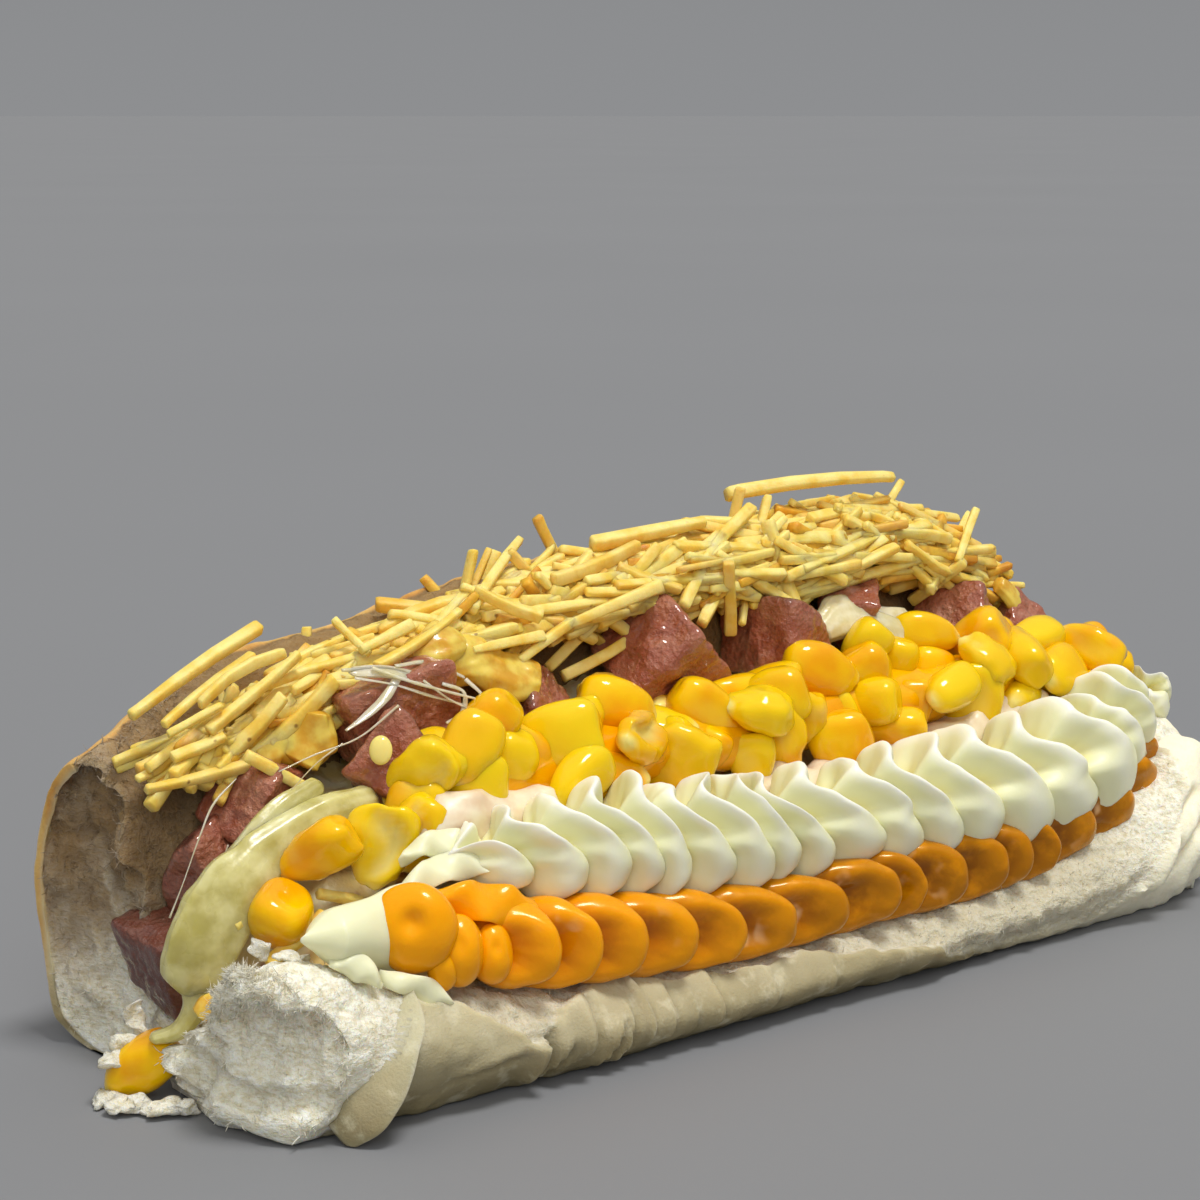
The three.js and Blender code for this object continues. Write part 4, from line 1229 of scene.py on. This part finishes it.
def make_corn():
    """The heap: kernels that stand out, then others scattered over its oval where there is room."""
    random = np.random.default_rng(21)
    grown, pale = [], []
    centres = [row[:3] for row in KERNELS]
    for number, (*at, lean, tilt, roll, length, width, thickness, burst) in enumerate(KERNELS):
        size = length, width, thickness
        rings, shade = kernel(at, axes_of(lean, tilt, roll), size, burst, 100 + number)
        grown.append(rings)
        pale.append(shade)
    for attempt in range(KERNEL_TRIES):
        x, turn = random.uniform(-56, 80), random.uniform(-1.0, 3.9)
        deep = random.uniform(2.2, 3.4)
        y = corn_y(x) + math.cos(turn) * (CORN_ACROSS - deep)
        z = corn_z(x) + math.sin(turn) * (CORN_UPRIGHT - deep)
        at = np.array([x, y, z])
        if np.linalg.norm(at - np.array(centres), axis=1).min() < KERNELS_APART:
            continue
        centres.append(tuple(at))
        out = np.array([random.normal(0, 0.35), math.cos(turn), math.sin(turn)])
        out = unit(out + random.normal(0, 0.3, 3))
        length = unit(np.cross(out, random.normal(0, 1, 3)))
        axes = np.stack([length, np.cross(out, length), out])
        size = random.uniform(*KERNEL_SIZES)
        rings, shade = kernel(at, axes, size, random.choice([0, 0, 0.15, 0.4, 0.9]), 1000 + attempt)
        grown.append(rings)
        pale.append(shade)
    pale = np.array(pale)
    ripe = 0.28 + 0.72 * random.random((len(pale), 1, 1)) + 0 * pale
    heaps = ["corn_heap"] + [f"corn_kernel_{number}" for number in range(1, 6)]
    kernels = tubes(np.array(grown))
    piece("corn_kernels", kernels, CORN, "corn", heaps, pale=spread(pale), ripe=spread(ripe))
    heart = heap_heart(-55, 79, (corn_y, corn_z), (4.8, 4.4), -0.5, 8, (0.8, 3.5), (90, 28))
    piece("corn_heart", heart, CORN, "corn", pale=even([heart], 0))
    germ = blob((-61.8, -5.6, 41), (-0.6, -0.7, 0.4), (1.5, 2.0, 0.7), 0, 9)
    piece("corn_germ", germ, CORN, "corn", pale=even([germ], 1))


def corn_paint(place):
    """Deep to light yellow from kernel to kernel, clouded, with a pale root and pale burst flesh."""
    pale = place.shade("pale")
    own = place.shade("ripe")
    ripe = place.grain(7, 2).step(0.35, 0.65).blend(colour(234, 164, 0), colour(244, 198, 0))
    ripe = own.step(0.55, 1.0).blend(ripe, colour(240, 206, 24))
    ripe = ((1 - own.step(0.15, 0.4)) * 0.6).blend(ripe, colour(236, 166, 0))
    cloud = (place.grain(2.2, 3).step(0.55, 0.8) * 0.2).blend(ripe, colour(248, 206, 60))
    tone = pale.blend(cloud, colour(238, 222, 158))
    rough = place.grain(3, 2) * 0.1 + 0.2
    return {"Base Color": tone, "Roughness": rough, "height": (0.12, 0.25, place.grain(0.9, 2))}


CORN = finish(
    "sweetcorn", corn_paint, Subsurface_Weight=0.25, Subsurface_Scale=0.002,
    Subsurface_Radius=(1.0, 0.6, 0.08),
    Specular_IOR_Level=0.2, Specular_Tint=(1.0, 0.8, 0.3, 1.0), Coat_Weight=0.7, Coat_Roughness=0.035,
    Coat_Tint=(1.0, 0.94, 0.45, 1.0),
)

make_corn()

# ------------------------------------------------------------------ potato sticks

# Sticks that stand out, each from one end to the other.
STICKS = (
    ((-90, 5, 38.2), (-74, 6, 38.8)), ((-76.5, 3.5, 40.8), (-67.4, 1, 34.6)),
    ((-77, 8, 37.5), (-63, 3, 49)), ((-79, 9, 38), (-70, 4.5, 47.5)), ((-80, 6.5, 44), (-66, 7, 52)),
    ((-85, 7, 41), (-78, 6, 43)), ((-85, 9, 45), (-71, 10, 52)), ((-88, 12, 46), (-67, 15, 54.5)),
    ((-80, 8.5, 47), (-67, 9, 52)), ((-85, 8, 44), (-78, 6.5, 47)), ((-56, 4, 49.5), (-41, 6, 55)),
    ((-58, 11, 55), (-56, 5.5, 51)), ((-57, 6, 51.5), (-49, 6, 54)), ((-21, 19, 61), (-38, 7.5, 54.5)),
    ((-25, 3, 51.5), (-8, 3.5, 55)), ((-12, 8, 57.5), (-4, 3.5, 54)), ((-24, 7.5, 57), (-7, 9.5, 60)),
    ((-12, 14, 60), (6, 10, 62)), ((-4, 3, 51.5), (16, 11, 63)), ((18, 19, 64), (46, 11.5, 65)),
    ((9, 5, 47), (21, 13, 64)), ((18.5, 3.5, 48.5), (16.5, 8, 61.5)), ((5, 3.5, 57), (8, 6.5, 45.5)),
    ((5, 6, 58), (17, 3.5, 49.5)), ((-41, 3, 50), (-29, 3, 50.5)), ((-33, 3.5, 47.5), (-24, 3, 52)),
    ((-22, 8, 43), (-11, 6.5, 47)), ((-37, 8, 57), (-29, 3.5, 53)), ((31, 6.5, 60.5), (49, 5, 48)),
    ((16, 5.5, 59), (28, 3, 51.5)), ((50, 11, 45), (54, 3.5, 52)), ((53, 4, 52), (61, 8, 59)),
    ((-85.5, -8, 22.7), (-77.7, -8, 26.6)), ((-80.4, -12, 19.6), (-75, -12, 23.5)),
    ((-74, -9, 25), (-66.7, -9, 22.3)), ((-79, -13, 21), (-83.5, -12.5, 18.5)),
)

# How many sticks are laid over the heap, and its middle line and half sizes.
STICK_COUNT = 1250

stick_y = along((-88, 13.5), (-66, 12.5), (-25, 14.5), (20, 14.5), (50, 15), (68, 14))
stick_z = along((-88, 38), (-78, 40.5), (-60, 45), (-25, 51.5), (20, 53.5), (50, 52.5), (68, 45))
stick_across = along((-88, 6), (-60, 8.5), (-20, 10), (50, 10.5), (68, 8.5))
stick_upright = along((-88, 3.8), (-78, 4.8), (-60, 6), (-20, 7), (30, 8.2), (50, 8.5), (68, 6))


def sticks(starts, ends, random):
    """Square sticks with narrowly blunted edges from starts to ends, slightly bent and uneven, with flat
    ends. Returns rings (sticks, rings, around, 3) and how golden each point is."""
    count = len(starts)
    share = np.array([0, 0.015, 0.07, 0.35, 0.65, 0.93, 0.985, 1])[None, :, None]
    size = np.array([0.84, 0.98, 1, 1, 1, 1, 0.98, 0.84])[None, :, None]
    corner = np.radians([36, 54, 126, 144, 216, 234, 306, 324])[None, None]
    square = 1 / np.maximum(np.abs(np.cos(corner)), np.abs(np.sin(corner)))
    ahead = unit(ends - starts)
    side = unit(np.cross(ahead, random.normal(0, 1, (count, 3))))
    other = np.cross(ahead, side)
    half = random.uniform(0.58, 0.95, (count, 1, 1))
    half = half * (1 + random.uniform(-0.18, 0.18, (count, 1, 1)) * (2 * share - 1))
    flat = random.uniform(0.7, 1.0, (count, 1, 1))
    middle = starts[:, None] + (ends - starts)[:, None] * share
    bow = random.normal(0, 0.035, (count, 1, 1)) * np.linalg.norm(ends - starts, axis=1)[:, None, None]
    middle = middle + side[:, None] * bow * np.sin(np.pi * share)
    twist = random.uniform(-0.4, 0.4, (count, 1, 1)) * share
    wide = np.cos(corner + twist) * square * half * size
    high = np.sin(corner + twist) * square * half * flat * size
    rings = middle[:, :, None] + side[:, None, None] * wide[..., None]
    rings = rings + other[:, None, None] * high[..., None]
    rings = rings + 0.13 * wobble(rings, 1.7, 1)
    own = random.uniform(0, 1, (count, 1, 1))
    at_ends = 0.45 * np.abs(2 * share - 1) ** 6 * random.uniform(0, 1, (count, 1, 1))
    return rings, np.clip(0.9 * own**3.5 + at_ends, 0, 1) + 0 * wide


def make_sticks():
    """The heap: the sticks that stand out and many more lying over the heap's oval, roughly parallel and
    aslant towards the open end, and at all angles elsewhere, deeper ones first hidden by those above."""
    random = np.random.default_rng(4)
    count = STICK_COUNT
    x = random.uniform(-82, 66, count)
    turn = random.uniform(-0.55, 3.65, count)
    length = random.gamma(9, 1.8, count).clip(6, 28)
    combed = random.random(count) < ramp(-x, 50, 66)
    aslant, crossed = random.normal(0.45, 0.34, count), random.normal(0, 0.6, count)
    slant = np.where(combed, aslant, crossed * (1 - 0.45 * ramp(turn, 1.0, 1.8)))
    round_dir = np.stack([0 * x, -np.sin(turn), np.cos(turn)], axis=-1)
    slope = np.stack([np.ones(count), 0 * x, (stick_z(x + 2) - stick_z(x - 2)) / 4], axis=-1)
    across = np.sin(slant)[:, None] * round_dir * np.where(turn > 1.57, -1, 1)[:, None]
    way = unit(np.cos(slant)[:, None] * unit(slope) + across)
    out = np.stack([0 * x, np.cos(turn), np.sin(turn)], axis=-1)
    way = unit(way + out * random.normal(0, 0.07, count)[:, None])
    sag = (length / 2 * np.sin(slant)) ** 2 / 22
    deep = random.uniform(1.0, 4.4, count) + 0.9 * sag
    y = stick_y(x) + np.cos(turn) * (stick_across(x) - deep)
    z = stick_z(x) + np.sin(turn) * (stick_upright(x) - deep)
    middle = np.stack([x, y, z], axis=-1)
    starts, ends = middle - way * length[:, None] / 2, middle + way * length[:, None] / 2
    keep = (np.minimum(starts[:, 0], ends[:, 0]) > -89) & (np.maximum(starts[:, 0], ends[:, 0]) < 71)
    keep &= (np.minimum(starts[:, 2], ends[:, 2]) > 34) & (np.minimum(starts[:, 1], ends[:, 1]) > 1)
    for x, y, z in (starts.T, ends.T):
        keep &= (y < BACK_WALL_INSIDE) | (z > back_top(x) + 2.2 * ramp(x, -50, -25))
    seen = np.array(STICKS, float)
    starts = np.concatenate([seen[:, 0], starts[keep]])
    ends = np.concatenate([seen[:, 1], ends[keep]])
    rings, toasted = sticks(starts, ends, random)
    toasted[: len(seen)] *= 0.5
    heaps = ["potato_stick_heap", "potato_stick_1", "potato_stick_2"]
    piece("potato_sticks", tubes(rings), POTATO, "potato", heaps, toasted=spread(toasted))
    along_heap = np.linspace(-85, 68, 120)[:, None]
    sizes = stick_across(along_heap) - 4, stick_upright(along_heap) - 3.4
    heart = heap_heart(-85, 68, (stick_y, stick_z), sizes, -0.6, 9, (0.9, 3), (120, 30))
    piece("stick_heart", heart, POTATO, "potato", toasted=even([heart], 0.6))


def potato_paint(place):
    """Pale yellow to golden as each stick is toasted, with a few brown specks."""
    toasted = place.shade("toasted")
    pale = place.grain(3, 3).step(0.35, 0.7).blend(colour(247, 222, 132), colour(238, 198, 80))
    golden = place.grain(2, 3).step(0.35, 0.7).blend(colour(228, 172, 48), colour(200, 134, 34))
    tone = toasted.step(0.15, 0.95).blend(pale, golden)
    speck = place.cells(2.6).step(0.16, 0.06)
    tone = (speck * place.grain(7, 1).step(0.5, 0.62) * 0.75).blend(tone, colour(116, 70, 26))
    return {
        "Base Color": tone,
        "Roughness": place.grain(1.2, 3) * 0.3 + 0.35,
        "height": (0.5, 0.22, place.grain(0.55, 3, 0.6)),
    }


POTATO = finish(
    "potato_stick", potato_paint, Subsurface_Weight=0.4, Subsurface_Scale=0.0018,
    Subsurface_Radius=(1.0, 0.65, 0.2), Specular_IOR_Level=0.45,
)

make_sticks()

# ------------------------------------------------------------------ melted cheese


def ribbon(points, widths, thickness, tilt, seed, steps=110, sides=56, loose=1.0):
    """A thick strip of melted cheese along a path: an oval section as wide as widths says along its share
    of length, ridged lengthwise where it was pulled, and slack at random."""
    path = Path(points)
    share = np.linspace(0, 1, steps)
    middle = path.at(share * path.length)
    ahead = unit(np.gradient(middle, axis=0))
    side = unit(np.cross(np.array(tilt, float), ahead))
    up = np.cross(ahead, side)
    angle = full_turn(sides)
    wide = along(*widths)(share)[:, None] / 2
    ends = ramp(np.minimum(share, 1 - share), -0.01, 0.06)[:, None] ** 0.5
    pulled = 1 + 0.04 * np.cos(3 * angle + seed + 2 * share[:, None])
    pulled += 0.03 * np.cos(9 * angle + 5 * share[:, None])
    across = np.cos(angle) * wide * pulled * ends
    high = np.sign(np.sin(angle)) * np.abs(np.sin(angle)) ** 0.8 * thickness / 2 * pulled * ends
    rings = middle[:, None] + side[:, None] * across[..., None] + up[:, None] * high[..., None]
    slack = loose * layers(rings, (0.6, 7, seed), (0.25, 3, seed + 1), ((loose - 1) * 0.4, 1.6, seed + 2))
    return tube(rings + (rings - middle[:, None]) / 3 * slack[..., None])


def strand(points, radii, flat=1.0, seed=0, steps=40, sides=12):
    """A pulled string of cheese through points, its radius changing evenly between radii."""
    path = Path(points)
    share = np.linspace(0, 1, steps)
    middle = path.at(share * path.length)
    _, side, up = path.frame(share * path.length, (0.3, -0.4, 1))
    radius = np.interp(share, np.linspace(0, 1, len(radii)), radii)[:, None]
    radius = radius * (1 + 0.25 * noise(middle * 1.0, 2.2, seed)[:, None])
    angle = full_turn(sides)
    wide, high = np.cos(angle) * radius, np.sin(angle) * radius * flat
    return tube(middle[:, None] + side[:, None] * wide[..., None] + up[:, None] * high[..., None])


# Strings of cheese over the sausage and down the open end: points, radii, flatness and seed.
WEBS = (
    ([(-62, 0, 49.5), (-57, -1.5, 48.2), (-52, -2.5, 46.2), (-47, -2.5, 44.4), (-43, -2, 43)],
     (0.37, 0.25, 0.43, 0.25, 0.19), 0.4, 1),
    ([(-56, -1, 49), (-58.5, -2, 47), (-62, -2.5, 45), (-65.5, -3, 43.6)],
     (0.56, 0.74, 0.56, 0.25), 0.3, 2),
    ([(-49, -1, 47.2), (-46.5, -2.5, 45.8), (-47.5, -3.5, 43.6), (-50.5, -4, 42.6)],
     (0.37, 0.43, 0.31, 0.19), 0.5, 3),
    ([(-44.5, 0, 47), (-43, -2, 44.6), (-43.4, -3.2, 41.5), (-44.5, -3.5, 39)],
     (0.43, 0.31, 0.31, 0.22), 0.5, 4),
    ([(-52, -1, 48), (-49.5, -3, 45.6), (-46, -3.4, 43.6)], (0.31, 0.25, 0.31), 0.5, 5),
    ([(-55, 1, 50), (-49, 1.5, 49.6), (-44, 1, 47)], (0.31, 0.43, 0.31), 0.5, 11),
    ([(-58, -4, 46), (-64, -3.5, 42.5), (-70, -2.5, 41), (-75, -2, 39.5)],
     (0.2, 0.12, 0.11, 0.087), 1, 6),
    ([(-66, -3, 42), (-70, -3, 40), (-73.5, -2.5, 37)], (0.12, 0.074, 0.062), 1, 7),
    ([(-80, 0, 39), (-84, -1, 36.5), (-87, -2.5, 33), (-90, -3.5, 28), (-92, -3.5, 24)],
     (0.087, 0.16, 0.11, 0.074, 0.11), 1, 8),
    ([(-82, -1, 31), (-83.5, -1.5, 28), (-84, -2, 26)], (0.12, 0.087, 0.11), 1, 9),
)

# Golden melted bits between the sticks: points, widths along the length, thickness, facing and seed.
GOLDEN_BITS = (
    ([(-45, 5, 47), (-40, 4, 48), (-35, 4, 46), (-30, 3, 44)],
     ((0, 4), (0.4, 8), (1, 5)), 5, (0, -0.7, 0.7), 21),
    ([(-50, 6, 50), (-46, 5, 51), (-42, 5, 50)], ((0, 3), (0.5, 6), (1, 3)), 4, (0, -0.7, 0.7), 22),
    ([(-68, 4, 38), (-66, 4, 41), (-65, 4, 45)], ((0, 6), (0.5, 7), (1, 3)), 3.4, (-0.6, -0.7, 0.2), 23),
    ([(-73, 7, 39), (-70, 6.5, 40), (-67, 6, 38)], ((0, 3), (0.5, 5), (1, 3)), 3, (-0.6, -0.7, 0.2), 24),
    ([(-21, 5, 40), (-16, 5, 40), (-10, 5, 38)], ((0, 5), (0.5, 6), (1, 4)), 4, (0, -0.7, 0.7), 25),
)

# How many finer strings are drawn at random across the sausage.
FINE_WEBS = 2


def make_cheese():
    """The long strip at the open end, the drape and webs over the sausage, and the bits between."""
    open_end = (-0.35, -0.85, 0.3)
    strip = [
        ribbon([(-90.5, -4.2, 14), (-89.6, -4.8, 17.5), (-87.3, -5.4, 23.6), (-81.8, -5.4, 28.2),
                (-74.7, -4.5, 31.9), (-66.3, -3.8, 33.8), (-61, -3, 34)],
               ((0, 6.5), (0.1, 8.2), (0.3, 8.6), (0.5, 7.6), (0.68, 5.6), (0.85, 4.8), (1, 3.5)),
               4.2, open_end, 3),
        ribbon([(-85, -3, 27.5), (-80, -2.6, 31), (-74, -2, 34.6), (-68, -1, 36.6)],
               ((0, 2), (0.5, 3.4), (1, 2.4)), 2.0, open_end, 5),
        ribbon([(-89, -4, 16), (-89.2, -4, 12), (-91, -3.5, 9.5), (-94.5, -2, 8.5)],
               ((0, 4.5), (0.4, 3), (1, 1.4)), 2.2, (-0.5, -0.8, 0.1), 6, steps=50),
    ]
    piece("melted_strip", joined(strip), CHEESE, "cheese", ["cheese_strip"])
    sheet = ribbon([(-62, 1.5, 50), (-57, 0.5, 49.6), (-51, 0, 47.6), (-45.5, 0.5, 45)],
                   ((0, 1.4), (0.3, 2.6), (0.7, 2.8), (1, 1.2)), 0.6, (0, -0.6, 0.8), 12)
    webs = [strand(*row) for row in WEBS]
    random = np.random.default_rng(31)
    for number in range(FINE_WEBS):
        start = (-62, 1.2, 50.2) + random.normal(0, (2.4, 1.5, 0.3))
        end = (-45, -1.4, 43.6) + random.normal(0, (2.6, 1.2, 1.6))
        bend = (0, -0.6, 0.7) + random.normal(0, (2.6, 1.4, 0.7))
        third, later = start + (end - start) * 0.35 + bend, start + (end - start) * 0.7 + bend * 0.8
        radii = 0.3, random.uniform(0.16, 0.34), random.uniform(0.14, 0.3), 0.2
        webs.append(strand([start, third, later, end], radii, 0.7, 20 + number))
    piece("melted_drape", joined([sheet] + webs), PALE_CHEESE, "cheese")
    golden = [ribbon(*row, loose=1.5) for row in GOLDEN_BITS]
    golden += [
        ribbon([(64, 6, 47), (67, 5.5, 44.5), (69, 5, 41)],
               ((0, 3), (0.5, 5), (1, 3)), 2.6, (0, -0.7, 0.7), 27, steps=50),
        ribbon([(-91, -8, 12.3), (-89.5, -8.5, 13.6), (-88, -8.6, 14.4)],
               ((0, 2), (0.5, 3), (1, 2)), 2.2, (-0.6, -0.7, 0.2), 26, steps=30),
    ]
    piece("golden_cheese", joined(golden), GOLDEN_CHEESE, "cheese")
    melt = [
        ribbon([(22, 3, 44.5), (28, 3.5, 46.5), (34, 3, 44), (39, 2, 42)],
               ((0, 4), (0.4, 7), (1, 5)), 3.4, (0, -0.75, 0.65), 7),
        ribbon([(31, 4, 47), (36, 5, 44.5), (43, 5, 43.5)],
               ((0, 4), (0.5, 5.5), (1, 3)), 3, (0, -0.6, 0.8), 8),
    ]
    piece("melted_blob", joined(melt), PALE_CHEESE, "cheese", ["cheese_melt"])


def cheese_paint(place):
    """Greenish to creamy yellow, in soft patches."""
    tone = place.grain(4, 3).step(0.3, 0.7).blend(colour(178, 167, 92), colour(216, 208, 148))
    rough = place.grain(3, 2) * 0.15 + 0.2
    return {"Base Color": tone, "Roughness": rough, "height": (0.25, 0.35, place.grain(1.5, 3))}


CHEESE = finish(
    "melted_cheese", cheese_paint, Subsurface_Weight=0.7, Subsurface_Scale=0.006,
    Subsurface_Radius=(1.0, 0.9, 0.4),
    Specular_IOR_Level=0.5, Coat_Weight=0.3, Coat_Roughness=0.12,
)

PALE_CHEESE = finish(
    "pale_cheese", two_toned(3, (214, 200, 150), (232, 222, 186), (0.3, 0.35, 1.2)),
    Roughness=0.25, Subsurface_Weight=0.6, Subsurface_Scale=0.004,
    Subsurface_Radius=(1.0, 0.85, 0.5), Coat_Weight=0.4,
)

GOLDEN_CHEESE = finish(
    "golden_cheese", two_toned(3, (232, 204, 92), (214, 160, 44), (0.3, 0.4, 1.4)),
    Roughness=0.25, Subsurface_Weight=0.35, Subsurface_Scale=0.003,
    Subsurface_Radius=(1.0, 0.7, 0.2), Coat_Weight=0.3,
)

make_cheese()


# ------------------------------------------------------------------ filling


def make_bed():
    """The filling that shows between the walls: its top slopes up from the front lip to the back wall,
    lumpy with cheese and cream, and its underside lies inside the bread."""
    x = np.linspace(-84, 72, 200)[:, None]
    share = np.linspace(0, 1, 90)[None]
    top_share = 0.6
    back_edge = np.count_nonzero(share <= top_share) - 1
    over = np.clip(share / top_share, 0, 1)
    y = -17.5 + 32 * over
    top = front_lip(x) + 1 + (back_top(x) - 15 - front_lip(x)) * over**0.9
    spots = np.stack([x + 0 * y, y + 0 * x, 0 * x * y], axis=-1)
    top = top + layers(spots, (1.2, 6, 1), (0.7, 2.8, 2), (0.25, 1.2, 3))
    under = np.clip((share - top_share) / (1 - top_share), 0, 1)
    low = 4 + (top[:, [back_edge]] - 4) * (1 - ramp(under, 0, 0.3))
    z = np.where(share <= top_share, top, low)
    y = np.where(share <= top_share, y, 14.5 - 32 * ramp(under, 0.25, 1)) + 0 * x
    z = np.where(x < -66, 5 + (z - 5) * ramp(x, -92, -68), z)
    y = np.where(x < -74, 3 + (y - 3) * ramp(x, -100, -76), y)
    grid = np.stack([x + 0 * y, y, z], axis=-1)
    piece("filling", tube(grid), FILLING, "cheese", ["filling_bed"])


def filling_paint(place):
    """Cheesy cream with reddish brown patches of sauce."""
    tone = place.grain(5, 3).step(0.35, 0.65).blend(colour(214, 186, 118), colour(232, 220, 178))
    tone = (place.grain(3.5, 3).step(0.56, 0.7) * 0.8).blend(tone, colour(150, 78, 40))
    return {
        "Base Color": tone,
        "Roughness": place.grain(3, 2) * 0.2 + 0.25,
        "height": (0.4, 0.5, place.grain(1.2, 4)),
    }


FILLING = finish(
    "creamy_filling", filling_paint, Subsurface_Weight=0.4, Subsurface_Scale=0.003,
    Subsurface_Radius=(1.0, 0.7, 0.3),
)

make_bed()

# ------------------------------------------------------------------ floor


def make_floor():
    """A plain pale floor, wide enough to fill the view."""
    mesh = bpy.data.meshes.new("floor")
    wide, low = 30.0, -0.0002
    corners = [(-wide, -wide, low), (wide, -wide, low), (wide, wide, low), (-wide, wide, low)]
    mesh.from_pydata(corners, [], [(0, 1, 2, 3)])
    floor = bpy.data.objects.new("floor", mesh)
    bpy.context.collection.objects.link(floor)
    tones = colour(124, 125, 128), colour(128, 129, 132)
    paint = lambda place: {"Base Color": place.grain(400, 2).blend(*tones)}
    mesh.materials.append(finish("pale_floor", paint, Roughness=0.7))


make_floor()
